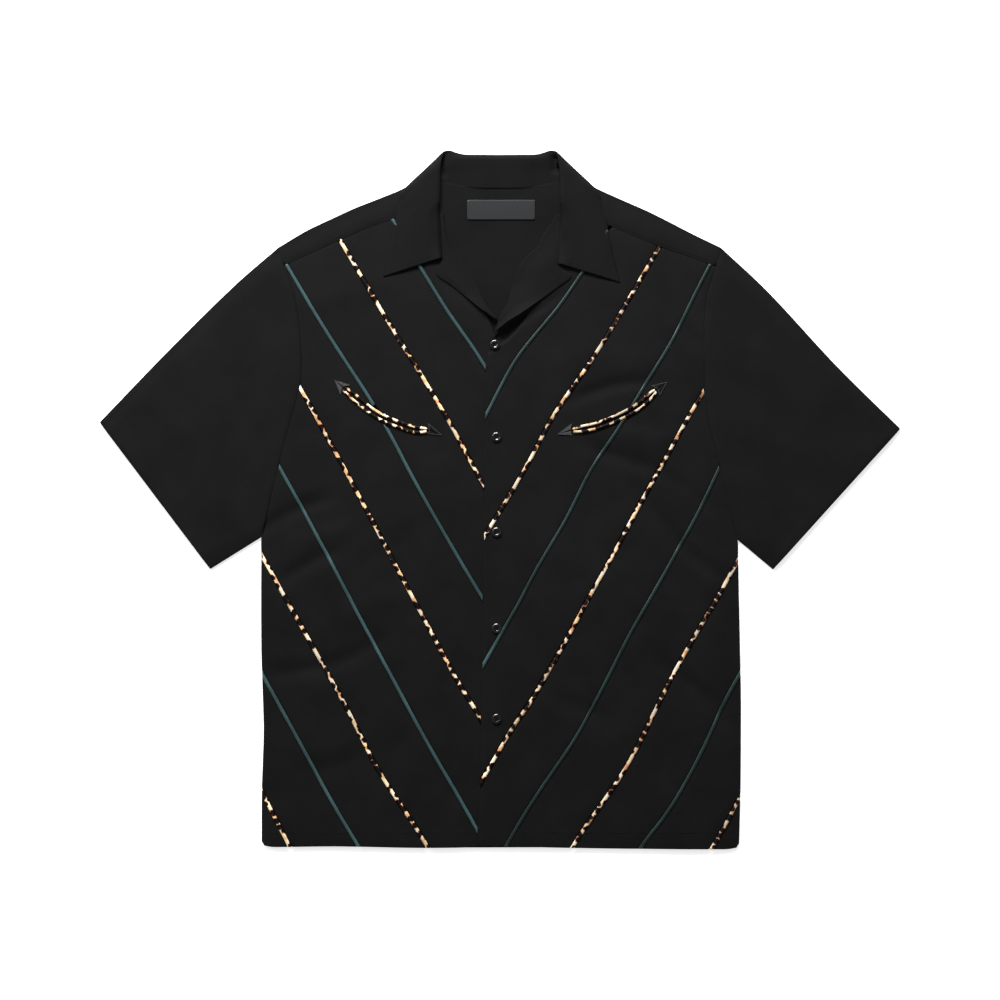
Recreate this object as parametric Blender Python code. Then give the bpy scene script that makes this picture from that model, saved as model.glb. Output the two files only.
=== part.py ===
"""A western shirt with short sleeves, laid flat and face up.

All sizes below are in millimetres. X runs across the shirt, left and right as
seen from above, Y runs from the hem to the neck, and Z is height above the
surface that it lies on. The cloth of every panel has its true outline. The
fronts are strips joined on the diagonal, with a cord in each joint.
"""
import math

import bmesh
import bpy
from mathutils import Matrix, Vector
from mathutils.bvhtree import BVHTree
from mathutils.geometry import delaunay_2d_cdt

MM = 0.001

# --- Cloth, gaps and trim --------------------------------------------------
CLOTH = 1.2            # wall of the body cloth
LEAF = 1.0             # the collar
FACING = 0.8           # the turned-back lapels
GAP = 0.3              # between two pieces that are sewn together
PUFF = 2.0             # how far the front floats above the back
TUCK = 14              # width of the rounding at side and shoulder
FALL_LIFT = 1.6        # how far the folded-down collar lifts the back yoke
FALL_RAMP = 28         # over this length
CENTRE_DIP = 0.8       # the fronts lie lower near the button line
OVERLAP_LIFT = CLOTH + GAP + 0.05
PUFF_ROUND_NECK = 0.6  # the same where the collar's fall lifts the back
GRID = 25              # size of a cloth facet
FINE_GRID = 17         # the same on the yokes
SEAM_STEP = 25         # spacing of the points along an armhole
CORD_STEP = 26         # spacing of the points along a cord
WHOLE = 2000           # a facet this size leaves only the outline's points
OVERRUN = 120          # joints are drawn this far past the cloth, then cut

# kind: (width, height) of the cord
CORDS = {"teal": (3.2, 2.0), "leopard": (4.2, 2.6)}
WELT_SIZE = (3.0, 2.2)
WELT_SPREAD = 5.6      # between the two welts of a pocket
WELT_PINCH = 0.38      # share of that by which they close at the ends
BUTTON_RADIUS = 5.25
BUTTON_HEIGHT = 2.4
BUTTON_SIDES = 16
# share of the radius, share of the height: from the middle of the back to the dished face
BUTTON_PROFILE = [
    (0, 0), (0.80, 0), (1, 0.35), (1, 0.72), (0.90, 1), (0.74, 1), (0.60, 0.68), (0, 0.60),
]

# --- Outlines --------------------------------------------------------------
SHOULDER = {
    "left": [(-240, 272), (-208, 291), (-159, 314), (-111, 333), (-104, 329.5), (-74, 343)],
    "right": [(239, 272), (208, 287), (163, 310), (111, 333), (104, 329.5), (74, 343)],
}
YOKE_SEAM = {
    "left": [(-234, 253), (-173, 281), (-116, 305), (-79, 321)],
    "right": [(232, 253), (172, 274), (120, 296), (79, 320)],
}
ARMHOLE = {   # from the underarm up to the shoulder
    "left": [(-257.5, -40), (-242, 23), (-223, 96), (-215.5, 126), (-215.5, 168), (-221, 217), (-240, 272)],
    "right": [(256.5, -43), (244, 6), (224, 88), (219.5, 122), (218.5, 168), (222, 217), (239, 272)],
}
SIDE = {      # from the underarm down to the hem
    "left": [(-257.5, -40), (-257.5, -160), (-255, -250), (-257, -310), (-257, -368)],
    "right": [(256.5, -43), (259, -160), (260, -220), (259.5, -310), (258, -370)],
}
HEM = {       # from the side to the centre
    "left": [(-257, -368), (-254, -372.5), (-246, -374), (-174, -373.4), (-77, -375), (9, -373.5)],
    "right": [(258, -370), (255, -375), (246, -376.4), (151, -376), (77, -375), (-24, -372.6)],
}
FRONT_EDGE = {    # from the hem up to the lapel: the left front passes underneath
    "left": [(9, -373.5), (9, 131), (4, 158), (-4, 176), (-9.5, 192)],
    "right": [(-24, -372.6), (-21, -269), (-18, -107), (-16, 88), (-15, 139), (-13, 160), (-9, 173), (-1, 184)],
}
FRONT_NECK = [(74, 343), (77, 338), (79, 321), (75, 310), (69, 299)]    # under the collar
BACK_SEAM_Y = 165      # joint between the back yoke and the back
NECK_SEAM = [(-74, 343), (-66, 341.5), (-57, 342.4), (-43, 339.6), (-20, 338.6), (0, 338.4)]

# --- Joints of the front strips, from the neck down ---------------------------
# kind of cord, border where it starts, border where it ends, route
JOINTS = {
    "left": [
        ("teal", "yoke", "front", [(-116, 306), (-18, 147)]),
        ("leopard", "yoke", "front", [(-173, 281), (-18, 17)]),
        ("teal", "yoke", "front", [(-231, 255), (-18, -107)]),
        ("leopard", "side", "front", [(-216, 120), (-19, -239)]),
        ("teal", "side", "front", [(-238, 37), (-26, -353)]),
        ("leopard", "side", "hem", [(-258, -58), (-77, -375)]),
        ("teal", "side", "hem", [(-258, -185), (-151, -375)]),
        ("leopard", "side", "hem", [(-258, -312), (-226, -375)]),
    ],
    "right": [
        ("teal", "yoke", "front", [(119, 295), (20, 156), (-16, 90)]),
        ("leopard", "yoke", "front", [(172, 273), (-15, -37)]),
        ("teal", "yoke", "front", [(227, 255), (181, 169), (-15, -172)]),
        ("leopard", "side", "front", [(220, 120), (-19, -301)]),
        ("teal", "side", "hem", [(237, 39), (5, -375)]),
        ("leopard", "side", "hem", [(257, -64), (77, -375)]),
        ("teal", "side", "hem", [(258, -188), (149, -375)]),
        ("leopard", "side", "hem", [(259, -320), (227, -375)]),
    ],
}
POCKET_JOINT = 3       # the joint that a pocket cuts through

# --- Lapels: point on the roll, point on the free edge, from the neck down -----
LAPEL = {
    "left": [
        ((-61, 309.5), (-65, 309)), ((-60, 299), (-65, 297)), ((-58, 287), (-65, 283)),
        ((-55, 277), (-64, 269)), ((-50, 269), (-62, 260)), ((-43, 261), (-65, 251.5)),
        ((-36, 252), (-68, 243)), ((-28, 241), (-52, 231)), ((-22, 226), (-38, 220)),
        ((-16, 211), (-24, 209.5)), ((-11, 201.5), (-16, 203.5)),
    ],
    "right": [
        ((61, 309), (65, 308)), ((57, 301), (65, 295)), ((50, 291), (65, 281)),
        ((45, 284), (64, 267)), ((40.5, 273), (62.3, 253.8)), ((29, 263), (69.5, 247.5)),
        ((19, 249), (77, 241)), ((13.5, 232), (61, 228)), ((8.5, 213), (44, 216)),
        ((3, 199), (24, 201.5)), ((-1.5, 189), (9, 193)),
    ],
}
FACING_RETURN = 6      # how far a lapel reaches back under the front

# --- Collar: neck seam, top of stand, roll, start of fall, edge of fall --------
# Stations run from the collar's front edge round to the centre of the back.
COLLAR = [
    ((-63.4, 260.4, 6.0), (-65.6, 260.0, 6.6), (-68, 259.2, 7.2), (-74, 257.5, 7.8), (-125.5, 240.6, 6.8)),
    ((-65.9, 279, 6.0), (-67.6, 279, 6.4), (-70, 278.6, 6.9), (-76, 277, 7.6), (-119.5, 268.5, 6.7)),
    ((-66.1, 297, 6.0), (-67.7, 297, 6.3), (-70, 297, 6.8), (-76, 296.5, 7.5), (-115, 294, 6.7)),
    ((-66.0, 310.5, 5.9), (-67.2, 310.8, 6.3), (-69, 311, 6.8), (-74, 311, 7.6), (-112.2, 305, 6.6)),
    ((-65.2, 314.6, 5.1), (-65.0, 314.8, 6.2), (-66.4, 315, 7.1), (-71, 315, 7.8), (-111.4, 308.8, 6.6)),
    ((-69.5, 319, 5.0), (-65.4, 319.2, 5.3), (-63.9, 319.4, 6.5), (-66.5, 319.4, 7.8), (-110.8, 312.4, 6.5)),
    ((-73.0, 326, 5.0), (-65.4, 328, 5.3), (-62.8, 328.4, 6.5), (-65.4, 328.2, 7.8), (-109.6, 318.5, 6.4)),
    ((-72.6, 338, 5.0), (-65.2, 346, 5.4), (-62.8, 347.2, 6.6), (-65.2, 346.4, 7.9), (-107.6, 327.2, 6.2)),
    ((-71.0, 342.8, 5.1), (-63.2, 361.6, 5.5), (-61.0, 364.6, 6.7), (-65.0, 362.6, 7.8), (-107.4, 331.6, 5.4)),
    ((-72.0, 344.4, 4.0), (-62.6, 366.4, 4.6), (-58.8, 375.2, 5.0), (-65.4, 370.4, 4.8), (-106.8, 335.2, 3.5)),
    ((-70.2, 343.4, 2.8), (-60.0, 367.2, 3.8), (-55.6, 376.2, 3.5), (-60.0, 372.8, 1.9), (-105.8, 334.2, 1.7)),
    ((-64.0, 342.6, 2.5), (-55.4, 368.2, 4.2), (-52.6, 376.4, 2.8), (-55.6, 372.4, 0.8), (-103.6, 333.2, 0.8)),
    ((-57.6, 343.0, 2.3), (-50.0, 368.6, 4.4), (-48.4, 374.6, 2.7), (-51.2, 370.6, 0.5), (-99, 331.8, 0.5)),
    ((-43.2, 340.2, 2.2), (-39.4, 368, 4.6), (-39.2, 372.4, 2.7), (-40.6, 368.4, 0.5), (-79.4, 328.6, 0.5)),
    ((-20, 339.2, 2.2), (-20, 367.7, 4.7), (-20, 372.0, 2.7), (-21, 367.9, 0.5), (-40.5, 325.4, 0.5)),
    ((0, 339.0, 2.2), (0, 367.5, 4.7), (0, 371.8, 2.7), (0, 367.7, 0.5), (0, 324.4, 0.5)),
]
RIGHT_SAG = [-6.2, -4, -2.4, -1]    # the right collar point hangs lower
FALL_EDGE = [(0, 324), (40, 325), (79, 328), (101, 332), (106, 345), (126, 409)]

# --- Sleeves: upper edge, cuff corner at the underarm, cuff corner at the tip ---
SLEEVE = {
    "left": {"upper": [(-240, 272), (-286, 232), (-358, 161), (-432, 84)], "cuff": (-312.5, -74.5)},
    "right": {"upper": [(239, 272), (289, 225), (364, 144), (432, 77)], "cuff": (294.5, -75)},
}
SLEEVE_RINGS = 8
FOLD_RADIUS = 1.05     # of a sleeve's folded edges, to the middle of the wall
SLEEVE_PUFF = 1.4

# --- Pockets, arrowheads, buttons, label --------------------------------------
WELT = {
    "left": [(-168, 120), (-133, 92.5), (-96, 77), (-79, 75)],
    "right": [(79, 75), (107, 81), (145, 98.5), (167.5, 117.5)],
}
# tip, upper barb, notch, lower barb
ARROWS = {
    "arrow_left_outer": [(-178, 129), (-162, 124), (-170, 122), (-172, 114)],
    "arrow_left_inner": [(-63, 70), (-77, 82), (-76, 75), (-77, 71.5)],
    "arrow_right_inner": [(62.5, 71), (77, 82), (76, 75), (77, 70)],
    "arrow_right_outer": [(180, 127), (163.5, 123), (170, 120), (172, 113)],
}
ARROW_HEIGHT = 0.9
BUTTONS = [(-5.6, 167.6), (-3.8, 68), (-3.8, -34.5), (-3.8, -138), (-3.8, -235.5)]
LABEL_CENTRE = (1.2, 313)
LABEL_SIZE = (73, 21, 0.6)
LABEL_GRID = 9

# --- Soft folds of the fronts: middle, length, width, slope in degrees, height --
FOLDS = [
    (-225, -20, 130, 34, 32, -0.8),
    (-190, -70, 150, 36, 34, 0.9),
    (-206, -168, 120, 34, 30, -0.8),
    (-150, -290, 130, 40, 24, -0.7),
    (-120, 30, 110, 36, 30, 0.6),
    (128, 55, 120, 34, -34, -0.8),
    (180, -6, 120, 34, -36, -0.9),
    (206, -60, 130, 36, -36, 0.9),
    (200, -200, 120, 36, -30, -0.8),
    (80, -290, 120, 40, -24, -0.7),
    (110, -120, 140, 40, -32, 0.6),
]
SLEEVE_FOLDS = {
    "left": [(-300, 90, 130, 30, 62, 0.9), (-345, 40, 120, 28, 55, -0.7)],
    "right": [(300, 90, 130, 30, -62, 0.9), (340, 30, 120, 28, -55, -0.7)],
}

COLOURS = {      # base colour, roughness
    "cloth": ((0.014, 0.014, 0.015), 0.85),
    "teal": ((0.020, 0.120, 0.130), 0.45),
    "leopard": ((0.560, 0.360, 0.170), 0.60),
    "arrow": ((0.060, 0.060, 0.062), 0.60),
    "button": ((0.006, 0.006, 0.007), 0.15),
    "label": ((0.045, 0.048, 0.052), 0.55),
}


# --- Plane geometry ------------------------------------------------------------
def smoothstep(value):
    value = min(1.0, max(0.0, value))
    return value * value * (3.0 - 2.0 * value)


def curve(points, step):
    """A smooth curve through the points, with a point about every step."""
    result = []
    last = len(points) - 1
    for i in range(last):
        p0, p1 = Vector(points[max(i - 1, 0)]), Vector(points[i])
        p2, p3 = Vector(points[i + 1]), Vector(points[min(i + 2, last)])
        chord = (p2 - p1).length
        before, after = max((p1 - p0).length, 1e-6), max((p3 - p2).length, 1e-6)
        tangent1 = (p2 - p1) if i == 0 else (p2 - p0) * (chord / (chord + before))
        tangent2 = (p2 - p1) if i == last - 1 else (p3 - p1) * (chord / (chord + after))
        count = max(1, round(chord / step))
        for k in range(count):
            t = k / count
            result.append(
                p1 * (2 * t**3 - 3 * t**2 + 1) + tangent1 * (t**3 - 2 * t**2 + t)
                + p2 * (3 * t**2 - 2 * t**3) + tangent2 * (t**3 - t**2)
            )
    result.append(Vector(points[-1]))
    return result


def straight(points, step):
    """The same, with straight runs between the points."""
    result = []
    for a, b in zip(points, points[1:]):
        a, b = Vector(a), Vector(b)
        count = max(1, round((b - a).length / step))
        result += [a.lerp(b, k / count) for k in range(count)]
    result.append(Vector(points[-1]))
    return result


def interpolate(table, x):
    """Value at x in a table of (x, value), with its end slopes beyond the ends."""
    for (x0, v0), (x1, v1) in zip(table, table[1:]):
        if x <= x1:
            break
    return v0 + (v1 - v0) * (x - x0) / (x1 - x0)


def distance_to(path, point):
    """Distance from a point to a path of straight runs."""
    best = 1e9
    for a, b in zip(path, path[1:]):
        run = b - a
        t = min(1.0, max(0.0, (point - a).dot(run) / max(run.dot(run), 1e-9)))
        best = min(best, (a + run * t - point).length)
    return best


def inside(polygon, point):
    result = False
    for a, b in zip(polygon, polygon[1:] + polygon[:1]):
        if (a.y > point.y) != (b.y > point.y):
            if point.x < a.x + (point.y - a.y) * (b.x - a.x) / (b.y - a.y):
                result = not result
    return result


def joined(*paths):
    """One closed outline from paths that follow each other."""
    result = []
    for path in paths:
        for point in path:
            if not result or (point - result[-1]).length > 1.0:
                result.append(point)
    if (result[0] - result[-1]).length < 1.0:
        result.pop()
    return result


# --- Heights of the layers -----------------------------------------------------
SILHOUETTE = [straight(SIDE[s], 500) for s in SIDE] + [straight(SHOULDER[s], 500) for s in SHOULDER]


def fold_height(folds, x, y):
    total = 0.0
    for mid_x, mid_y, length, width, slope, height in folds:
        turn = math.radians(slope)
        along = (x - mid_x) * math.cos(turn) + (y - mid_y) * math.sin(turn)
        across = -(x - mid_x) * math.sin(turn) + (y - mid_y) * math.cos(turn)
        total += height * math.exp(-(2 * along / length) ** 2 - (2 * across / width) ** 2)
    return total


def fall_lift(x, y):
    """Rise of the back yoke over the part of the collar that is folded under it."""
    return FALL_LIFT * smoothstep(1 + (y + 6 - interpolate(FALL_EDGE, abs(x))) / FALL_RAMP)


def back_top(x, y):
    return CLOTH + fall_lift(x, y)


def front_under(side, x, y):
    """Underside of the front layer, on the left or the right of the shirt."""
    lifted = fall_lift(x, y) / FALL_LIFT
    rise = PUFF + (PUFF_ROUND_NECK - PUFF) * lifted
    off_centre = smoothstep((abs(x) - 20) / 40)
    rise -= CENTRE_DIP * (1 - off_centre) * (1 - lifted)
    calm = off_centre * smoothstep((250 - y) / 60)
    rise += calm * fold_height(FOLDS, x, y)
    edge = min(distance_to(path, Vector((x, y))) for path in SILHOUETTE)
    height = back_top(x, y) + GAP + rise * smoothstep(edge / TUCK)
    if side == "right":
        height += OVERLAP_LIFT * smoothstep((45 - x) / 33) * smoothstep((238 - y) / 36)
    return height


# --- Solids ----------------------------------------------------------------------
def material(name):
    found = bpy.data.materials.get(name)
    if found:
        return found
    colour, roughness = COLOURS[name]
    made = bpy.data.materials.new(name)
    made.use_nodes = True
    shader = made.node_tree.nodes["Principled BSDF"]
    shader.inputs["Base Color"].default_value = (*colour, 1.0)
    shader.inputs["Roughness"].default_value = roughness
    shader.inputs["Metallic"].default_value = 0.0
    made.diffuse_color = (*colour, 1.0)
    return made


def add_object(name, vertices, faces, finish, smooth=False):
    """A closed solid from points in millimetres."""
    mesh = bpy.data.meshes.new(name)
    mesh.from_pydata([Vector(v) * MM for v in vertices], [], faces)
    bm = bmesh.new()
    bm.from_mesh(mesh)
    bmesh.ops.recalc_face_normals(bm, faces=bm.faces)
    bm.to_mesh(mesh)
    bm.free()
    mesh.materials.append(material(finish))
    made = bpy.data.objects.new(name, mesh)
    bpy.context.scene.collection.objects.link(made)
    if smooth:
        mesh.shade_smooth()
        mesh.set_sharp_from_angle(angle=math.radians(50))
    return made


def plate(name, outline, under, thickness, finish, grid=GRID):
    """A sheet with a closed outline, whose underside follows under(x, y)."""
    points = list(outline)
    xs, ys = [p.x for p in outline], [p.y for p in outline]
    closed = outline + outline[:1]
    row = 0
    y = min(ys) + grid * 0.5
    while y < max(ys):
        x = min(xs) + grid * (0.25 + 0.5 * (row % 2))
        while x < max(xs):
            spot = Vector((x, y))
            if inside(outline, spot) and distance_to(closed, spot) > grid * 0.45:
                points.append(spot)
            x += grid
        y += grid * 0.87
        row += 1
    loop = list(range(len(outline)))
    flat, _, triangles, _, _, _ = delaunay_2d_cdt(points, [], [loop], 1, 1e-5)
    low = [(p.x, p.y, under(p.x, p.y)) for p in flat]
    high = [(x, y, z + thickness) for x, y, z in low]
    count = len(low)
    uses = {}
    for triangle in triangles:
        for a, b in zip(triangle, triangle[1:] + triangle[:1]):
            uses[frozenset((a, b))] = (a, b) if frozenset((a, b)) not in uses else None
    faces = [tuple(reversed(t)) for t in triangles]
    faces += [tuple(i + count for i in t) for t in triangles]
    for pair in uses.values():
        if pair:
            a, b = pair
            faces += [(a, b, b + count), (a, b + count, a + count)]
    return add_object(name, low + high, faces, finish)


def leaf(name, rows, thickness, finish):
    """A folded sheet: rows of points on its middle surface, given a thickness."""
    count, width = len(rows), len(rows[0])

    def normal(i, j):
        down = rows[min(i + 1, count - 1)][j] - rows[max(i - 1, 0)][j]
        along = rows[i][min(j + 1, width - 1)] - rows[i][max(j - 1, 0)]
        return down.cross(along).normalized()

    half = thickness / 2
    sides = []
    for sign in (1, -1):
        sides.append([[rows[i][j] + normal(i, j) * half * sign for j in range(width)] for i in range(count)])
    vertices = [p for side in sides for row in side for p in row]
    size = count * width
    faces = []
    for i in range(count - 1):
        for j in range(width - 1):
            a = i * width + j
            b, c, d = a + 1, a + width + 1, a + width
            faces += [(a, b, c), (a, c, d)]
            faces += [(a + size, c + size, b + size), (a + size, d + size, c + size)]
    rim = [j for j in range(width)]
    rim += [i * width + width - 1 for i in range(1, count)]
    rim += [(count - 1) * width + j for j in range(width - 2, -1, -1)]
    rim += [i * width for i in range(count - 2, 0, -1)]
    for a, b in zip(rim, rim[1:] + rim[:1]):
        faces += [(a, a + size, b + size), (a, b + size, b)]
    return add_object(name, vertices, faces, finish)


def cord(name, route, size, finish, cuts, sides=6):
    """A cord of oval section along a route, cut off square to what it meets."""
    width, height = size
    rings = []
    for i, point in enumerate(route):
        ahead = route[min(i + 1, len(route) - 1)] - route[max(i - 1, 0)]
        across = Vector((-ahead.y, ahead.x, 0)).normalized()
        ring = []
        for k in range(sides):
            turn = 2 * math.pi * k / sides
            ring.append(point + across * (math.cos(turn) * width / 2)
                        + Vector((0, 0, (math.sin(turn) / math.sin(math.pi / 3) + 1) * height / 2)))
        rings.append(ring)
    bm = bmesh.new()
    made = [[bm.verts.new(p * MM) for p in ring] for ring in rings]
    for a, b in zip(made, made[1:]):
        for k in range(sides):
            n = (k + 1) % sides
            bm.faces.new((a[k], a[n], b[n], b[k]))
    bm.faces.new(list(reversed(made[0])))
    bm.faces.new(made[-1])
    for point, outward in cuts:
        geometry = bm.verts[:] + bm.edges[:] + bm.faces[:]
        plane = Vector((*point, 0)) * MM
        cut = bmesh.ops.bisect_plane(bm, geom=geometry, dist=1e-6, plane_co=plane,
                                     plane_no=Vector((*outward, 0)), clear_outer=True)
        edges = [e for e in cut["geom_cut"] if isinstance(e, bmesh.types.BMEdge)]
        if edges:
            bmesh.ops.contextual_create(bm, geom=edges)
    bmesh.ops.triangulate(bm, faces=bm.faces)
    bmesh.ops.recalc_face_normals(bm, faces=bm.faces)
    mesh = bpy.data.meshes.new(name)
    bm.to_mesh(mesh)
    bm.free()
    mesh.materials.append(material(finish))
    mesh.shade_smooth()
    mesh.set_sharp_from_angle(angle=math.radians(75))
    result = bpy.data.objects.new(name, mesh)
    bpy.context.scene.collection.objects.link(result)
    return result


# --- Joints: a strip lies between two of them ------------------------------------
def joint_path(side, number):
    """The joint's centre line, extended past both ends."""
    kind, _, _, route = JOINTS[side][number - 1]
    points = curve(route, CORD_STEP)
    first = (points[0] - points[1]).normalized() * OVERRUN
    last = (points[-1] - points[-2]).normalized() * OVERRUN
    return kind, [points[0] + first] + points + [points[-1] + last]


def joint_offset_table(side, number, above):
    """The edge of the cloth beside a joint, as a table of (x, y)."""
    kind, path = joint_path(side, number)
    room = CORDS[kind][0] / 2 + GAP
    table = []
    for i, point in enumerate(path):
        run = path[min(i + 1, len(path) - 1)] - path[max(i - 1, 0)]
        rise = room * math.hypot(1, run.y / run.x)
        table.append((point.x, point.y + (rise if above else -rise)))
    return sorted(table)


def clip(outline, table, keep_above):
    """The part of an outline that lies above or below the edge in a table."""
    def excess(p):
        value = p.y - interpolate(table, p.x)
        return value if keep_above else -value

    result = []
    exits = []
    for a, b in zip(outline, outline[1:] + outline[:1]):
        ea, eb = excess(a), excess(b)
        if ea >= 0:
            result.append(a)
        if (ea >= 0) != (eb >= 0):
            low, high = 0.0, 1.0
            for _ in range(40):
                middle = (low + high) / 2
                if (excess(a.lerp(b, middle)) >= 0) == (ea >= 0):
                    low = middle
                else:
                    high = middle
            result.append(a.lerp(b, low))
            if ea >= 0:
                exits.append(len(result) - 1)
    if not exits:
        return result
    at = exits[0]
    start, end = result[at], result[(at + 1) % len(result)]
    low_x, high_x = sorted((start.x, end.x))
    between = [Vector(p) for p in table if low_x + 4 < p[0] < high_x - 4]
    if start.x > end.x:
        between.reverse()
    return result[:at + 1] + straight_between(start, between, end) + result[at + 1:]


def straight_between(start, between, end):
    """Points between two ends, evenly spread where there are long runs."""
    full = straight([start] + between + [end], GRID)
    return full[1:-1]


def turn_at(outline, i):
    """How sharply an outline turns at one of its points."""
    before = outline[i] - outline[i - 1]
    after = outline[(i + 1) % len(outline)] - outline[i]
    return abs(before.angle_signed(after))


def tidy(outline, least):
    """An outline without crowded points: of two, the sharper corner stays."""
    result = list(outline)
    i = 0
    while i < len(result):
        before = (i - 1) % len(result)
        if (result[i] - result[before]).length > least:
            i += 1
        elif turn_at(result, i) < turn_at(result, before):
            result.pop(i)
        else:
            result.pop(before)
    return result


# --- The shirt's pieces ------------------------------------------------------------
def shifted(path, distance):
    """A path moved sideways, to its left as it runs."""
    result = []
    for i, point in enumerate(path):
        run = path[min(i + 1, len(path) - 1)] - path[max(i - 1, 0)]
        result.append(point + Vector((-run.y, run.x)).normalized() * distance)
    return result


def armhole_path(side):
    """The seam of body and sleeve: every piece that meets it has the same points."""
    return curve(ARMHOLE[side], SEAM_STEP)


def flat_seam(side):
    """The yoke seam as a table of (x, y)."""
    return sorted(YOKE_SEAM[side])


def moved(table, rise):
    return [(x, y + rise) for x, y in table]


def whole_front(side):
    """One side of the front, from the shoulder to the hem."""
    inward = -1 if side == "left" else 1
    roll = curve([roll for roll, _ in LAPEL[side][2:]], 9)
    roll = shifted(roll, 3.0 * inward)
    neck = [Vector((x * inward, y)) for x, y in FRONT_NECK]
    edge = list(reversed(curve(FRONT_EDGE[side], GRID)))
    hem = list(reversed(curve(HEM[side], GRID)))
    side_path = list(reversed(curve(SIDE[side], GRID)))
    shoulder = straight(SHOULDER[side], GRID)
    return joined(neck + roll, edge, hem, side_path, armhole_path(side), shoulder)


def whole_back():
    """The body of the back, from the neck seam to the hem."""
    neck = [Vector(p) for p in NECK_SEAM] + [Vector((-x, y)) for x, y in reversed(NECK_SEAM[:-1])]
    hem = curve(HEM["left"][:5] + list(reversed(HEM["right"][:5])), 60)
    return joined(
        neck, list(reversed(straight(SHOULDER["right"], GRID))), list(reversed(armhole_path("right"))),
        curve(SIDE["right"], GRID), list(reversed(hem)), list(reversed(curve(SIDE["left"], GRID))),
        armhole_path("left"), straight(SHOULDER["left"], GRID))


def make_strips(side):
    whole = clip(whole_front(side), moved(flat_seam(side), -GAP / 2), keep_above=False)
    last = len(JOINTS[side]) + 1
    for number in range(1, last + 1):
        piece = whole
        if number > 1:
            piece = clip(piece, joint_offset_table(side, number - 1, above=False), keep_above=False)
        if number < last:
            piece = clip(piece, joint_offset_table(side, number, above=True), keep_above=True)
        piece = tidy(piece, 2.5)
        plate(f"strip_{side}_{number}", piece, lambda x, y: front_under(side, x, y), CLOTH, "cloth")


def crossing(path, border):
    """Where a path first meets a border, and the border's direction there."""
    for a, b in zip(path, path[1:]):
        for c, d in zip(border, border[1:]):
            run, edge = b - a, d - c
            cross = run.x * edge.y - run.y * edge.x
            if abs(cross) < 1e-9:
                continue
            t = ((c.x - a.x) * edge.y - (c.y - a.y) * edge.x) / cross
            s = ((c.x - a.x) * run.y - (c.y - a.y) * run.x) / cross
            if 0 <= t <= 1 and 0 <= s <= 1:
                return a + run * t, edge.normalized()
    return None


def cut_at(path, border, away, clearance):
    """A cut just short of a border: a point and the direction to be removed."""
    spot, edge = crossing(path, border)
    outward = Vector((-edge.y, edge.x))
    if outward.dot(away) < 0:
        outward = -outward
    return spot - outward * clearance, outward


def trimmed(path, first, last):
    """The stretch of a path beside two points, run a little past both."""
    margin = 8
    down = (path[-1] - path[0]).normalized()
    table = [(p.dot(down), p) for p in path]
    low, high = first.dot(down), last.dot(down)
    inner = [p for along, p in table if low + margin < along < high - margin]
    return [interpolate(table, low - margin)] + inner + [interpolate(table, high + margin)]


def make_joint_cords(side):
    borders = {
        "yoke": straight(YOKE_SEAM[side], OVERRUN),
        "side": list(reversed(armhole_path(side))) + curve(SIDE[side], GRID),
        "front": curve(FRONT_EDGE["right"], GRID),
        "hem": curve(HEM[side], GRID),
    }
    half_pocket = WELT_SPREAD / 2 + WELT_SIZE[0] / 2 + GAP
    for number, (kind, start, end, _) in enumerate(JOINTS[side], start=1):
        path = straight(joint_path(side, number)[1], CORD_STEP)
        down = (path[-1] - path[0]).normalized()
        top = cut_at(path, borders[start], -down, 2 * GAP)
        meets_cloth = side == "left" and end == "front"
        bottom = cut_at(path, borders[end], down, 2 * GAP if meets_cloth else GAP)
        spans = [("", top, bottom)]
        if number == POCKET_JOINT:
            welt = curve(WELT[side], GRID)
            spans = [
                ("_upper", top, cut_at(path, welt, down, half_pocket)),
                ("_lower", cut_at(path, welt, -down, half_pocket), bottom),
            ]
        for suffix, first, last in spans:
            route = [(p.x, p.y, front_under(side, p.x, p.y)) for p in trimmed(path, first[0], last[0])]
            cord(f"{kind}_{side}_{number}{suffix}", [Vector(p) for p in route], CORDS[kind], kind, [first, last])


def make_back():
    level = [(-300, BACK_SEAM_Y), (300, BACK_SEAM_Y)]
    back = clip(whole_back(), moved(level, -GAP / 2), keep_above=False)
    plate("back", back, lambda x, y: 0.0, CLOTH, "cloth", grid=WHOLE)
    yoke = clip(whole_back(), moved(level, GAP / 2), keep_above=True)
    plate("yoke_back", tidy(yoke, 1.5), fall_lift, CLOTH, "cloth", grid=FINE_GRID)
    for side in YOKE_SEAM:
        front = clip(whole_front(side), moved(flat_seam(side), GAP / 2), keep_above=True)
        front = tidy(front, 1.5)
        plate(f"yoke_front_{side}", front, lambda x, y: front_under(side, x, y), CLOTH, "cloth", grid=FINE_GRID)


def folded_edge(centre, across, turns):
    """Points round the fold at a sleeve's edge, each with its outward direction."""
    result = []
    for turn in turns:
        angle = math.radians(turn)
        way = Vector((across.x * math.cos(angle), across.y * math.cos(angle), math.sin(angle)))
        middle = Vector((centre.x, centre.y, CLOTH / 2 + FOLD_RADIUS))
        result.append((middle + way * FOLD_RADIUS, way))
    return result


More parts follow.
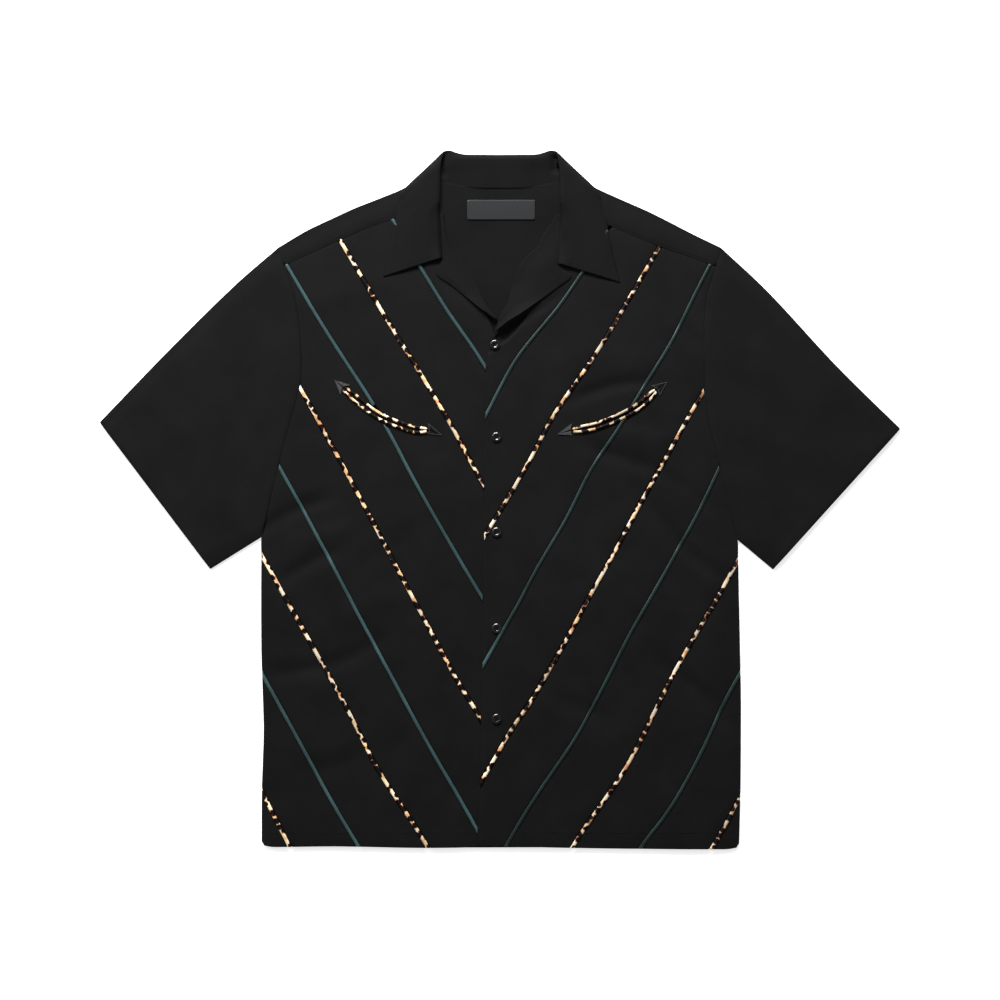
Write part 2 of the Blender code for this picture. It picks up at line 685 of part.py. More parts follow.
def sleeve_section(side, at, shares):
    """The same, all round the flattened sleeve: at(u) is a point from the underarm up."""
    low, high = at(0), at(1)
    across = (high - low).normalized()
    length = (high - low).length
    rim = FOLD_RADIUS + CLOTH / 2
    margin = rim / length
    steps = [margin] + shares[1:-1] + [1 - margin]
    up = Vector((0, 0, 1))
    section = [(Vector((*at(u), CLOTH / 2)), -up) for u in steps]
    section += folded_edge(high - across * rim, across, (-45, 0, 45))
    for u in reversed(steps):
        spot = at(u)
        edge = (min(u, 1 - u) - margin) * length / TUCK
        rise = (SLEEVE_PUFF + fold_height(SLEEVE_FOLDS[side], *spot)) * smoothstep(edge)
        section.append((Vector((*spot, CLOTH / 2 + 2 * FOLD_RADIUS + rise)), up))
    section += folded_edge(low + across * rim, across, (135, 180, 225))
    return section


def make_sleeve(side):
    """A flattened tube, open at the armhole and at the cuff."""
    spec = SLEEVE[side]
    outward = Vector((-1 if side == "left" else 1, 0))
    armhole = armhole_path(side)
    upper = curve(spec["upper"], 2)
    shoulder, tip = armhole[-1], upper[-1]
    corner = Vector(spec["cuff"])

    seam_length = [0.0]
    for a, b in zip(armhole, armhole[1:]):
        seam_length.append(seam_length[-1] + (b - a).length)
    shares = [length / seam_length[-1] for length in seam_length]
    share_table = list(zip(shares, armhole))

    def ring_point(u, w):
        on_armhole = interpolate(share_table, u) + outward * 1.5 * GAP
        on_cuff = corner.lerp(tip, u)
        bulge = upper[round(w * (len(upper) - 1))] - shoulder.lerp(tip, w)
        return on_armhole.lerp(on_cuff, w) + bulge * u * u

    half = CLOTH / 2
    outer, inner = [], []
    for i in range(SLEEVE_RINGS):
        section = sleeve_section(side, lambda u: ring_point(u, i / (SLEEVE_RINGS - 1)), shares)
        outer += [point + way * half for point, way in section]
        inner += [point - way * half for point, way in section]
    width = len(section)
    size = SLEEVE_RINGS * width
    faces = []
    for i in range(SLEEVE_RINGS - 1):
        for j in range(width):
            n = (j + 1) % width
            a, b, c, d = i * width + j, i * width + n, (i + 1) * width + n, (i + 1) * width + j
            faces += [(a, b, c), (a, c, d)]
            faces += [(a + size, c + size, b + size), (a + size, d + size, c + size)]
    for i in (0, SLEEVE_RINGS - 1):
        for j in range(width):
            a, b = i * width + j, i * width + (j + 1) % width
            faces += [(a, a + size, b + size), (a, b + size, b)]
    add_object(f"sleeve_{side}", outer + inner, faces, "cloth")


def make_lapel(side):
    rows = []
    half = FACING / 2
    for roll, edge in LAPEL[side]:
        roll, edge = Vector(roll), Vector(edge)
        toward = (edge - roll).normalized()
        inner = roll + toward * 3
        leaf_z = front_under(side, inner.x, inner.y) + CLOTH + GAP + half + 0.1
        back_z = back_top(inner.x, inner.y) + GAP + half
        radius = (leaf_z - back_z) / 2
        length = (edge - roll).length
        start = roll + toward * min(radius, length * 0.5)
        row = []
        for t in (1.0, 0.66, 0.33):
            spot = start.lerp(edge, t)
            height = front_under(side, spot.x, spot.y) + CLOTH + GAP + half + 0.15
            row.append(Vector((spot.x, spot.y, max(height, leaf_z - 0.2))))
        reach = min(radius, length * 0.5)
        for turn in (90, 135, 180, 225, 270):
            swing = math.cos(math.radians(turn)) * reach
            spot = start + toward * swing
            row.append(Vector((spot.x, spot.y, back_z + radius + math.sin(math.radians(turn)) * radius)))
        back = start + toward * min(FACING_RETURN, length * 0.4)
        row.append(Vector((back.x, back.y, back_z)))
        rows.append(row)
    leaf(f"lapel_{side}", rows, FACING, "cloth")


def collar_row(station):
    seam, stand, roll, fall, edge = [Vector(p) for p in station]
    row = [seam, seam.lerp(stand, 0.55), stand]
    row.append(corner_point(stand, roll, fall, 0.5, 0))
    row.append(roll)
    row.append(corner_point(stand, roll, fall, 0.5, 1))
    row.append(fall)
    row += [fall.lerp(edge, t) for t in (0.33, 0.67, 1.0)]
    return row


def corner_point(stand, roll, fall, share, which):
    """A point that rounds the roll, between it and the stand or the fall."""
    near = fall if which else stand
    bulge = roll - (stand + fall) / 2
    return near.lerp(roll, share) + bulge * 0.18


def make_collar():
    left = COLLAR[:-1]
    right = []
    for i, station in enumerate(left):
        sag = RIGHT_SAG[i] if i < len(RIGHT_SAG) else 0
        right.append([(-x + sag * (x + 63) / 100, y + sag, z) for x, y, z in station])
    stations = left + [COLLAR[-1]] + list(reversed(right))
    leaf("collar", [collar_row(s) for s in stations], LEAF, "cloth")


def cloth_top(side):
    """A function giving the height of the strips' upper side at a point."""
    bm = bmesh.new()
    for number in range(1, len(JOINTS[side]) + 2):
        bm.from_mesh(bpy.data.objects[f"strip_{side}_{number}"].data)
    tree = BVHTree.FromBMesh(bm)
    bm.free()

    def height(x, y):
        hit = tree.ray_cast(Vector((x, y, 100)) * MM, Vector((0, 0, -1)))
        return hit[0].z / MM if hit[0] else 0.0

    return height


def welt_line(route, shift):
    """A path beside a route that draws closer to it at both ends."""
    last = len(route) - 1
    line = []
    for i, beside in enumerate(shifted(route, shift)):
        line.append(beside.lerp(route[i], WELT_PINCH * (1 - math.sin(math.pi * i / last))))
    return line


def make_welts(side):
    top = cloth_top(side)
    route = curve(WELT[side], 9)
    for label, shift in (("upper", WELT_SPREAD / 2), ("lower", -WELT_SPREAD / 2)):
        line = welt_line(route, shift)
        heights = [max(top(p.x, p.y), front_under(side, p.x, p.y) + CLOTH) for p in line]
        path = []
        for i, p in enumerate(line):
            path.append(Vector((p.x, p.y, max(heights[max(i - 1, 0):i + 2]) + GAP)))
        cord(f"welt_{side}_{label}", path, WELT_SIZE, "leopard", [])


def make_arrows(side):
    top = cloth_top(side)
    for name in [n for n in ARROWS if side in n]:
        rest = max(top(*corner) for corner in ARROWS[name]) + GAP
        low = [(x, y, rest) for x, y in ARROWS[name]]
        high = [(x, y, rest + ARROW_HEIGHT) for x, y in ARROWS[name]]
        faces = [(0, 1, 2), (0, 2, 3), (4, 5, 6), (4, 6, 7)]
        for a, b in ((0, 1), (1, 2), (2, 3), (3, 0)):
            faces += [(a, b, b + 4), (a, b + 4, a + 4)]
        add_object(name, low + high, faces, "arrow")


def circle(x, y, radius, sides):
    turns = [2 * math.pi * k / sides for k in range(sides)]
    return [(x + radius * math.cos(turn), y + radius * math.sin(turn)) for turn in turns]


def make_button(name, x, y, rest):
    """A round button turned from its profile."""
    vertices = [(x, y, rest)]
    for radius, height in BUTTON_PROFILE[1:-1]:
        ring = circle(x, y, BUTTON_RADIUS * radius, BUTTON_SIDES)
        vertices += [(*point, rest + BUTTON_HEIGHT * height) for point in ring]
    vertices.append((x, y, rest + BUTTON_HEIGHT * BUTTON_PROFILE[-1][1]))
    rings = len(BUTTON_PROFILE) - 2
    top_ring = 1 + (rings - 1) * BUTTON_SIDES
    faces = []
    for k in range(BUTTON_SIDES):
        n = (k + 1) % BUTTON_SIDES
        faces.append((0, 1 + n, 1 + k))
        for ring in range(rings - 1):
            a = 1 + ring * BUTTON_SIDES
            b = a + BUTTON_SIDES
            faces.append((a + k, a + n, b + n, b + k))
        faces.append((len(vertices) - 1, top_ring + k, top_ring + n))
    add_object(name, vertices, faces, "button", smooth=True)


def make_buttons():
    top = cloth_top("right")
    for number, (x, y) in enumerate(BUTTONS, start=1):
        under = circle(x, y, BUTTON_RADIUS, 8) + [(x, y)]
        make_button(f"button_{number}", x, y, max(top(*point) for point in under) + GAP)


def make_label():
    width, depth, height = LABEL_SIZE
    x0, x1 = LABEL_CENTRE[0] - width / 2, LABEL_CENTRE[0] + width / 2
    y0, y1 = LABEL_CENTRE[1] - depth / 2, LABEL_CENTRE[1] + depth / 2
    outline = [Vector(p) for p in ((x0, y0), (x1, y0), (x1, y1), (x0, y1))]
    outline = straight(outline + outline[:1], LABEL_GRID)[:-1]
    plate("label", outline, lambda x, y: back_top(x, y) + 1.5 * GAP, height, "label", grid=LABEL_GRID)


def centre_on_floor():
    """Move the whole shirt so that its box is centred on the origin, on the floor."""
    corners = [o.matrix_world @ Vector(c) for o in bpy.data.objects for c in o.bound_box]
    low = [min(c[i] for c in corners) for i in range(3)]
    high = [max(c[i] for c in corners) for i in range(3)]
    shift = Vector((-(low[0] + high[0]) / 2, -(low[1] + high[1]) / 2, -low[2]))
    for made in bpy.data.objects:
        made.data.transform(Matrix.Translation(shift))


def main():
    for old in list(bpy.data.objects):
        bpy.data.objects.remove(old, do_unlink=True)
    make_back()
    for side in ("left", "right"):
        make_strips(side)
        make_joint_cords(side)
        make_sleeve(side)
        make_lapel(side)
        make_welts(side)
        make_arrows(side)
    make_collar()
    make_buttons()
    make_label()
    centre_on_floor()


main()
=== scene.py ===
# %% [markdown]
# # A western shirt, laid flat
#
# The shirt in this lesson is a boxy, short-sleeved one. Its fronts are cut in
# diagonal strips, and in each joint lies a thin cord: teal satin in one, a
# leopard print in the next. It has a camp collar, two curved pockets with
# arrowheads, and five black buttons.
#
# A plain CAD model of it exists already. It fixes where each piece lies. Here
# every piece gets its real cloth: a thin, soft-edged sheet with folds in it.
# We work in millimetres and in plan, as a cutter does, and lift the result off
# the table at the end.

# %% Load the plain shirt
import math

import bmesh
import bpy
import numpy as np
from mathutils import Matrix, Vector
from mathutils.bvhtree import BVHTree
from mathutils.geometry import delaunay_2d_cdt


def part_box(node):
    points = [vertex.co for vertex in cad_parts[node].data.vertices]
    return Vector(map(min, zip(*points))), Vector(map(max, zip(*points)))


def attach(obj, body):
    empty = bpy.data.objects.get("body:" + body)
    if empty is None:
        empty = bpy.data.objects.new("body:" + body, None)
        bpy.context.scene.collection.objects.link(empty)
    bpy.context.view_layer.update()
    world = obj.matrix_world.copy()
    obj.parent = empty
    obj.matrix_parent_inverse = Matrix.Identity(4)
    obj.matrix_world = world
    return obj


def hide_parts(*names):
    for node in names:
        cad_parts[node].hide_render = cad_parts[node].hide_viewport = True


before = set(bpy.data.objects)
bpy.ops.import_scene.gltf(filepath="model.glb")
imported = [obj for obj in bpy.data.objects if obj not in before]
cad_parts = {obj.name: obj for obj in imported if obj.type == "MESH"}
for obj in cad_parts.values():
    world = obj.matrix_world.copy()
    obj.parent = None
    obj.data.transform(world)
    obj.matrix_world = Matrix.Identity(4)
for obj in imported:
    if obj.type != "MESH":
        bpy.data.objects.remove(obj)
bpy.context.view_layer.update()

MM = 0.001
SIDES = ("left", "right")
print("CAD nodes:", len(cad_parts))

# %% [markdown]
# ## Reading a pattern piece off the CAD
#
# A sewing pattern is a set of outlines, so the first thing to get from the CAD
# is the outline of each piece. The faces of a node that look up form one patch,
# and the edges that only one of those faces uses are its border. Walking along
# them gives the pattern piece.

# %% The outline of a CAD node
FACING_UP = 0.5       # a face looks up when its normal rises by more than this


def pattern_outline(node):
    """Outline, in plan and in mm, of the upper side of a CAD node."""
    bm = bmesh.new()
    bm.from_mesh(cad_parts[node].data)
    bmesh.ops.remove_doubles(bm, verts=bm.verts, dist=1e-6)
    bm.normal_update()
    following = {}
    for face in bm.faces:
        for loop in face.loops:
            if [f for f in loop.edge.link_faces if f.normal.z > FACING_UP] == [face]:
                following[loop.vert] = loop.link_loop_next.vert
    start = next(iter(following))
    walk = [start]
    while following[walk[-1]] != start:
        walk.append(following[walk[-1]])
    outline = [Vector((v.co.x, v.co.y)) / MM for v in walk]
    bm.free()
    return outline


print("points round the back yoke:", len(pattern_outline("yoke_back")))

# %% [markdown]
# The CAD has a point every few centimetres, which is too coarse for cloth. We
# keep its corners and draw a smooth curve through the points between them: a
# Hermite curve, the same maths as a Bezier. Corners are where the outline turns
# sharply.

# %% Smooth curves between corners
def smooth_path(points):
    """A smooth curve as a function of the distance along it, and its length."""
    points = np.asarray([tuple(p) for p in points], float)
    chord = np.linalg.norm(np.diff(points, axis=0), axis=1)
    at = np.concatenate([[0], np.cumsum(chord)])
    slope = np.empty_like(points)
    slope[1:-1] = (points[2:] - points[:-2]) / (at[2:] - at[:-2])[:, None]
    slope[0] = (points[1] - points[0]) / chord[0]
    slope[-1] = (points[-1] - points[-2]) / chord[-1]

    def along(distance):
        distance = np.clip(np.asarray(distance, float), 0, at[-1])
        i = np.clip(np.searchsorted(at, distance, side="right") - 1, 0, len(chord) - 1)
        t = ((distance - at[i]) / chord[i])[:, None]
        h = chord[i][:, None]
        return (points[i] * (2 * t**3 - 3 * t**2 + 1) + slope[i] * h * (t**3 - 2 * t**2 + t)
                + points[i + 1] * (3 * t**2 - 2 * t**3) + slope[i + 1] * h * (t**3 - t**2))

    return along, at[-1]


def flowing(points, step):
    """The smooth curve as points that lie about a step apart."""
    along, length = smooth_path(points)
    return along(np.linspace(0, length, max(2, round(length / step) + 1)))


SHARP = 24            # degrees; where an outline turns by more, it has a corner


def runs_between_corners(outline):
    """The stretches of an outline from one corner to the next."""
    count = len(outline)
    corners = []
    for i in range(count):
        before = outline[i] - outline[i - 1]
        after = outline[(i + 1) % count] - outline[i]
        if abs(math.degrees(before.angle_signed(after))) > SHARP:
            corners.append(i)
    return [[outline[i % count] for i in range(a, b + 1)]
            for a, b in zip(corners, corners[1:] + [corners[0] + count])]


def cut_piece(node, step=4.0):
    """The outline of a pattern piece, smooth between its corners."""
    runs = runs_between_corners(pattern_outline(node))
    return np.concatenate([flowing(run, step)[:-1] for run in runs])


print("points round a smooth yoke:", len(cut_piece("yoke_back")))

# %% [markdown]
# ## How high the cloth lies
#
# Cloth that lies on cloth takes the height of what is under it. The CAD strips
# already float at the right height, but they have flat facets. So we drop a
# ray on them at every few millimetres, fill the grooves between them, and blur
# the result. What comes out is a smooth hill that any sheet can be laid on.

# %% Fill and blur a grid
PITCH = 5.0           # mm between two samples
SOFTENING = 6         # passes of the blur


def blurred(grid, passes):
    """The grid, blurred along its columns, turned, blurred again and turned back."""
    for _ in range(2 * passes):
        padded = np.pad(grid, ((1, 1), (0, 0)), mode="edge")
        grid = ((padded[:-2] + 2 * padded[1:-1] + padded[2:]) / 4).T
    return grid


def filled(grid):
    """The grid with its empty cells filled from their neighbours."""
    rows, columns = grid.shape
    while np.isnan(grid).any():
        padded = [np.pad(g, 1) for g in (np.nan_to_num(grid), 1.0 - np.isnan(grid))]
        total, count = [sum(g[a:a + rows, b:b + columns] for a in (0, 1, 2) for b in (0, 1, 2)) for g in padded]
        grid = np.where(np.isnan(grid) & (count > 0), total / np.maximum(count, 1), grid)
    return grid


def bilinear(a, b, pick):
    """Blend four neighbours, where pick(0 or 1, 0 or 1) gives each of them."""
    return (1 - a) * ((1 - b) * pick(0, 0) + b * pick(0, 1)) + a * ((1 - b) * pick(1, 0) + b * pick(1, 1))


print("height samples:", PITCH, "mm apart")

# %% [markdown]
# The rays drop straight down on the nodes, and between four samples the height is
# blended.

# %% A smooth height map from CAD nodes
RAY_START = 100       # mm above the table


def height_map(names):
    """Height of the upper side of these nodes, in mm, as a function of x and y."""
    bm = bmesh.new()
    for name in names:
        bm.from_mesh(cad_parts[name].data)
    tree = BVHTree.FromBMesh(bm)
    bm.free()
    boxes = [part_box(name) for name in names]
    low = [min(box[0][i] for box in boxes) / MM - 2 * PITCH for i in (0, 1)]
    high = [max(box[1][i] for box in boxes) / MM + 2 * PITCH for i in (0, 1)]
    columns = int((high[0] - low[0]) / PITCH) + 2
    rows = int((high[1] - low[1]) / PITCH) + 2
    grid = np.full((rows, columns), np.nan)
    for row in range(rows):
        for column in range(columns):
            spot = Vector((low[0] + column * PITCH, low[1] + row * PITCH, RAY_START)) * MM
            hit = tree.ray_cast(spot, Vector((0, 0, -1)))[0]
            if hit:
                grid[row, column] = hit.z / MM
    grid = blurred(filled(grid), SOFTENING)

    def height(x, y):
        u = np.clip((np.asarray(x) - low[0]) / PITCH, 0, columns - 1.001)
        v = np.clip((np.asarray(y) - low[1]) / PITCH, 0, rows - 1.001)
        i, j = v.astype(int), u.astype(int)
        return bilinear(v - i, u - j, lambda di, dj: grid[i + di, j + dj])

    return height


STRIPS = {side: [f"strip_{side}_{n}" for n in range(1, 10)] for side in SIDES}
front_base = {side: height_map(STRIPS[side] + [f"yoke_front_{side}"]) for side in SIDES}
print("height of the left chest:", round(float(front_base["left"](-120, 150)), 2), "mm")

# %% [markdown]
# ## Folds
#
# A worn shirt that is laid out keeps soft folds. On this one they run across
# the cords, like the creases of a bent elbow. Each is given as a line with a
# width and a height: a trough where the height is negative. It fades out
# towards both ends, and it sways a little, so it isn't quite straight.

# %% Folds
# start x, start y, end x, end y, width, height
FOLDS = [
    (-262, -28, -186, -2, 12, -2.2),
    (-236, -86, -176, -58, 11, -2.0),
    (-240, -192, -130, -156, 12, -1.9),
    (-207, -291, -148, -271, 14, -1.2),
    (-205, 214, -130, 232, 24, 1.1),
    (-150, -62, -70, -24, 16, -0.9),
    (-120, 20, -40, 44, 20, 0.8),
    (-215, -50, -165, -25, 14, 1.0),
    (-180, -130, -90, -100, 18, 0.9),
    (78, 110, 158, 127, 10, -2.2),
    (102, 60, 224, 1, 12, -2.0),
    (156, -2, 248, -97, 12, -2.1),
    (178, -174, 248, -244, 12, -2.0),
    (38, -194, 112, -237, 15, -1.3),
    (176, 225, 215, 163, 12, -1.6),
    (118, 64, 186, 71, 15, 1.1),
    (170, 40, 225, 0, 14, 1.0),
    (14, 138, 150, 152, 28, 0.8),
    (60, -60, 190, -130, 22, 0.9),
    (95, -290, 190, -330, 20, 0.8),
]
CREASES = {           # short, sharp ones near the neck
    "left": [(-26, 208, -64, 238, 5, -0.8)],
    "right": [(22, 190, 62, 220, 6, -1.0)],
}
SWAY_PERIOD = 23      # mm


def beside_line(x, y, start, end):
    """How far points lie along a line and across it, and how long the line is."""
    (x0, y0), (x1, y1) = start, end
    length = math.hypot(x1 - x0, y1 - y0)
    along = ((x - x0) * (x1 - x0) + (y - y0) * (y1 - y0)) / length
    across = ((y - y0) * (x1 - x0) - (x - x0) * (y1 - y0)) / length
    return along, across, length


def fold_relief(x, y, folds, sway=4):
    """Height that the folds add at points in plan."""
    total = np.zeros_like(x)
    for *ends, width, height in folds:
        along, across, length = beside_line(x, y, ends[:2], ends[2:])
        across = across + sway * np.sin(along / SWAY_PERIOD + ends[0])
        beyond = np.maximum(0, np.abs(along - length / 2) - length * 0.28) / (length * 0.3)
        total += height * np.exp(-beyond**2 - (across / width) ** 2 * 2)
    return total


print("folds on the fronts:", len(FOLDS))

# %% [markdown]
# No area of cloth is dead flat. A table of random numbers, blended from one
# number to the next, gives a gentle unevenness in three sizes. Its seed is
# fixed, so it comes out the same on each run.

# %% Unevenness
BUMPS = ((0.40, 52), (0.16, 19), (0.05, 7))     # mm: height and size
TABLE = 64            # random numbers along each side of the table


def random_relief(x, y, size, seed):
    """Smooth random numbers from -1 to 1 that change over a distance of size."""
    table = np.random.default_rng(seed).uniform(-1, 1, (TABLE, TABLE))
    u, v = x / size + 1000, y / size + 1000
    i, j = np.floor(u).astype(int), np.floor(v).astype(int)
    a, b = u - i, v - j
    a, b = a * a * (3 - 2 * a), b * b * (3 - 2 * b)
    return bilinear(a, b, lambda di, dj: table[(i + di) % TABLE, (j + dj) % TABLE])


def unevenness(x, y, seed=1):
    return sum(height * random_relief(x, y, size, seed + i) for i, (height, size) in enumerate(BUMPS))


print("unevenness at one spot:", round(float(unevenness(20.0, 30.0)), 2), "mm")

# %% [markdown]
# Below the right lapel the front is folded in, and light doesn't reach it. That
# hollow is a line with a half-width and a depth that change along it, and with
# sides that are steep enough to stay dark.

# %% The hollow under the right lapel
HOLLOW_ENDS = ((-16, 158), (33, 206))
HOLLOW_SHARES = (0, 0.1, 0.25, 0.4, 0.6, 0.8, 1)
HOLLOW_HALF_WIDTHS = (1.2, 2.6, 4.6, 6.0, 5.4, 3.6, 0.8)
HOLLOW_DEPTHS = (1.6, 2.0, 3.0, 3.6, 3.6, 3.0, 0.6)
HOLLOW_SIDE = 1.8     # mm, width of its sloping side


def neck_hollow(side, x, y):
    """Depth of the hollow in which the right front is folded in under its lapel."""
    if side == "left":
        return 0 * x
    along, across, length = beside_line(x, y, *HOLLOW_ENDS)
    share = along / length
    beyond = np.maximum(np.abs(share - 0.5) - 0.5, 0) * length
    inside = np.interp(share, HOLLOW_SHARES, HOLLOW_HALF_WIDTHS) - np.abs(across) - beyond
    return np.interp(share, HOLLOW_SHARES, HOLLOW_DEPTHS) * np.clip(0.5 + inside / HOLLOW_SIDE, 0, 1)


print("deepest point of the hollow:", max(HOLLOW_DEPTHS), "mm")

# %% [markdown]
# ## Where the lapels roll
#
# A lapel turns back along a line, its roll. On that line the front lies as low
# as the yoke beneath it, so the line is needed before the lapel itself is made.
# The table gives pairs of points, one on the roll and one on the free edge.

# %% The rolls of the lapels
LAPEL = {
    "left": [
        ((-61, 309.5), (-65, 309)), ((-60, 299), (-65, 297)), ((-58, 287), (-65, 283)),
        ((-55, 277), (-64, 269)), ((-50, 269), (-62, 260)), ((-43, 261), (-65, 251.5)),
        ((-36, 252), (-68, 243)), ((-28, 241), (-52, 231)), ((-22, 226), (-38, 220)),
        ((-15, 211), (-24, 208.5)), ((-8, 201.5), (-14, 201.5)), ((-2.5, 196), (-5.5, 195.2)),
    ],
    "right": [
        ((61, 309), (65, 308)), ((57, 301), (65, 295)), ((50, 291), (65, 281)),
        ((45, 284), (64, 267)), ((40.5, 273), (62.3, 253.8)), ((29, 263), (69.5, 247.5)),
        ((19, 249), (77, 241)), ((13.5, 232), (61, 228)), ((8.5, 213), (44, 216)),
        ((1, 200), (24, 201.8)), ((-3, 188.5), (9.5, 192.8)), ((-5.5, 182), (-1, 184.6)),
    ],
}
ROLL_REACH = 26       # mm from the roll to where the front is at its own height


def smoothstep(value):
    value = np.clip(value, 0, 1)
    return value * value * (3 - 2 * value)


def near_roll(side, x, y):
    """1 on the line where the lapel rolls, 0 a few centimetres away from it."""
    line = np.array([roll for roll, edge in LAPEL[side]], float)
    nearest = np.full(np.shape(x), 1e9)
    for a, b in zip(line, line[1:]):
        run = b - a
        t = np.clip(((x - a[0]) * run[0] + (y - a[1]) * run[1]) / (run @ run), 0, 1)
        nearest = np.minimum(nearest, np.hypot(x - a[0] - t * run[0], y - a[1] - t * run[1]))
    return (1 - smoothstep(nearest / ROLL_REACH)) * smoothstep((y - 200) / 35)


print("points along a roll:", len(LAPEL["left"]))

# %% [markdown]
# The shoulder line is a fold, so the cloth curves down towards it. It runs from
# the neck, steeply, to the place where the collar crosses it, and then less
# steeply to the armhole.

# %% The shoulder line
SHOULDER_POINT, SHOULDER_SLOPE, SHOULDER_COSINE = (111, 333), 0.47, 0.905
NECK_POINT, NECK_SLOPE, NECK_COSINE = (55, 377), 0.86, 0.758


def shoulder_line(x):
    """y of the shoulder line, outside the collar, x mm from the middle."""
    return SHOULDER_POINT[1] + (SHOULDER_POINT[0] - x) * SHOULDER_SLOPE


def shoulder_drop(x, y):
    """How far the cloth curves down towards the line of the shoulder."""
    x = np.abs(x)
    to_shoulder = (shoulder_line(x) - y) * SHOULDER_COSINE
    to_neck = (NECK_POINT[1] - (x - NECK_POINT[0]) * NECK_SLOPE - y) * NECK_COSINE
    gap = np.maximum(np.where(x > SHOULDER_POINT[0], to_shoulder, to_neck), 0)
    return 1.6 * np.exp(-gap / 7) * smoothstep((x - 60) / 10)


print("drop on the line:", round(float(shoulder_drop(120, shoulder_line(120))), 1), "mm")

# %% [markdown]
# Now all of it comes together: the hill from the CAD, the folds, the hollow and
# the slopes at shoulder and roll. Near the button line and the neck the folds
# are calmer. The front never sinks into the back.

# %% The top of the fronts
CLOTH = 0.9           # mm, thickness of the body cloth
LOWEST = CLOTH + 0.5  # mm, the front's upper side lies at least this high
yoke_base = height_map(["yoke_back"])


def front_top(side):
    """Height of the front's upper side, as a function of x and y."""
    base = front_base[side]

    def height(x, y):
        x, y = np.asarray(x, float), np.asarray(y, float)
        calm = np.clip((np.abs(x + 6) - 16) / 30, 0, 1) * np.clip((262 - y) / 50, 0, 1)
        top = base(x, y) + fold_relief(x, y, CREASES[side], sway=0) - neck_hollow(side, x, y)
        top = top + calm * fold_relief(x, y, FOLDS) + (0.3 + 0.7 * calm) * unevenness(x, y)
        top = top - np.minimum(shoulder_drop(x, y), np.maximum(top - 2.4, 0))
        low = np.minimum(yoke_base(x, y) + 0.2, top)
        return np.maximum(top + (low - top) * near_roll(side, x, y), LOWEST)

    return height


top_of = {side: front_top(side) for side in SIDES}
print("height in a fold:", round(float(top_of["right"](200, -50)), 2), "mm")

# %% [markdown]
# ## A sheet of cloth
#
# Real cloth has two sides and an edge that is folded under, so its edge is
# round. We fill the outline with a triangle mesh, by Delaunay triangulation,
# which keeps the triangles close to equilateral. Points a little inside the
# border let the edge curve down. The underside is the same net, lower down,
# and a narrow wall joins the two. The result is closed and can be printed.

# %% Distances from an outline
EDGE_RINGS = (0.12, 0.45, 1.3, 3.0)     # mm inside the border
CROWDED = 0.85        # a ring point that has come nearer than this share is left out
ROW_HEIGHT = 0.866    # of an equilateral triangle with a side of 1


def distances(points, outline):
    """Distance from each point to the outline, and whether it lies inside."""
    nearest = np.full(len(points), 1e9)
    inside = np.zeros(len(points), bool)
    for a, b in zip(outline, np.roll(outline, -1, axis=0)):
        run = b - a
        t = np.clip(((points - a) @ run) / max(run @ run, 1e-9), 0, 1)
        nearest = np.minimum(nearest, np.linalg.norm(points - a - t[:, None] * run, axis=1))
        if a[1] != b[1]:
            crosses = (a[1] > points[:, 1]) != (b[1] > points[:, 1])
            inside ^= crosses & (points[:, 0] < a[0] + (points[:, 1] - a[1]) * run[0] / run[1])
    return nearest, inside


print("rings of points beside a border:", len(EDGE_RINGS))

# %% The net
def inset(outline, distance):
    """Points at a distance inside an outline, without those that crowd in corners."""
    run = np.roll(outline, -1, axis=0) - np.roll(outline, 1, axis=0)
    normal = np.stack([-run[:, 1], run[:, 0]], axis=1)
    normal /= np.linalg.norm(normal, axis=1)[:, None]
    points = outline + normal * distance
    nearest, inside = distances(points, outline)
    return points[inside & (nearest > CROWDED * distance)]


def net(outline, step):
    """Triangles that fill an outline: points, triangles, distance to the border."""
    area = np.cross(outline, np.roll(outline, -1, axis=0)).sum() / 2
    if area < 0:
        outline = outline[::-1]
    low, high = outline.min(axis=0), outline.max(axis=0)
    xs = np.arange(low[0], high[0], step)
    ys = np.arange(low[1], high[1], step * ROW_HEIGHT)
    grid = np.array([(x + step / 2 * (j % 2), y) for j, y in enumerate(ys) for x in xs])
    nearest, inside = distances(grid, outline)
    points = [outline, grid[inside & (nearest > EDGE_RINGS[-1] + step * 0.4)]]
    points += [inset(outline, d) for d in EDGE_RINGS]
    points = np.concatenate(points)
    border = list(range(len(outline)))
    flat, _, triangles, _, _, _ = delaunay_2d_cdt([Vector(p) for p in points], [], [border], 1, 1e-4)
    flat = np.array([tuple(p) for p in flat])
    return flat, triangles, distances(flat, outline)[0], abs(area)


def edge_roll(distance, radius):
    """How far a folded edge has curved down at a distance from the border."""
    inward = np.clip(distance, 0, radius)
    return radius - np.sqrt(np.maximum(radius**2 - (radius - inward) ** 2, 0))


print("edge roll at the border:", float(edge_roll(np.array([0.0]), 0.4)[0]), "mm")

# %% [markdown]
# Every piece ends as a mesh object with one finish. Two helpers make it, from
# lists or from a bmesh.

# %% From points and faces to an object
def linked(name, data):
    """An object in the scene for a mesh, a light or a camera."""
    made = bpy.data.objects.new(name, data)
    bpy.context.scene.collection.objects.link(made)
    return made


def show(name, mesh, finish):
    """An object for a mesh, smoothly shaded and in one finish."""
    mesh.materials.append(finish)
    mesh.shade_smooth()
    return linked(name, mesh)


def add_mesh(name, points, faces, finish):
    """A mesh object from points in mm."""
    mesh = bpy.data.meshes.new(name)
    mesh.from_pydata((np.asarray(points) * MM).tolist(), [], faces)
    return show(name, mesh, finish)


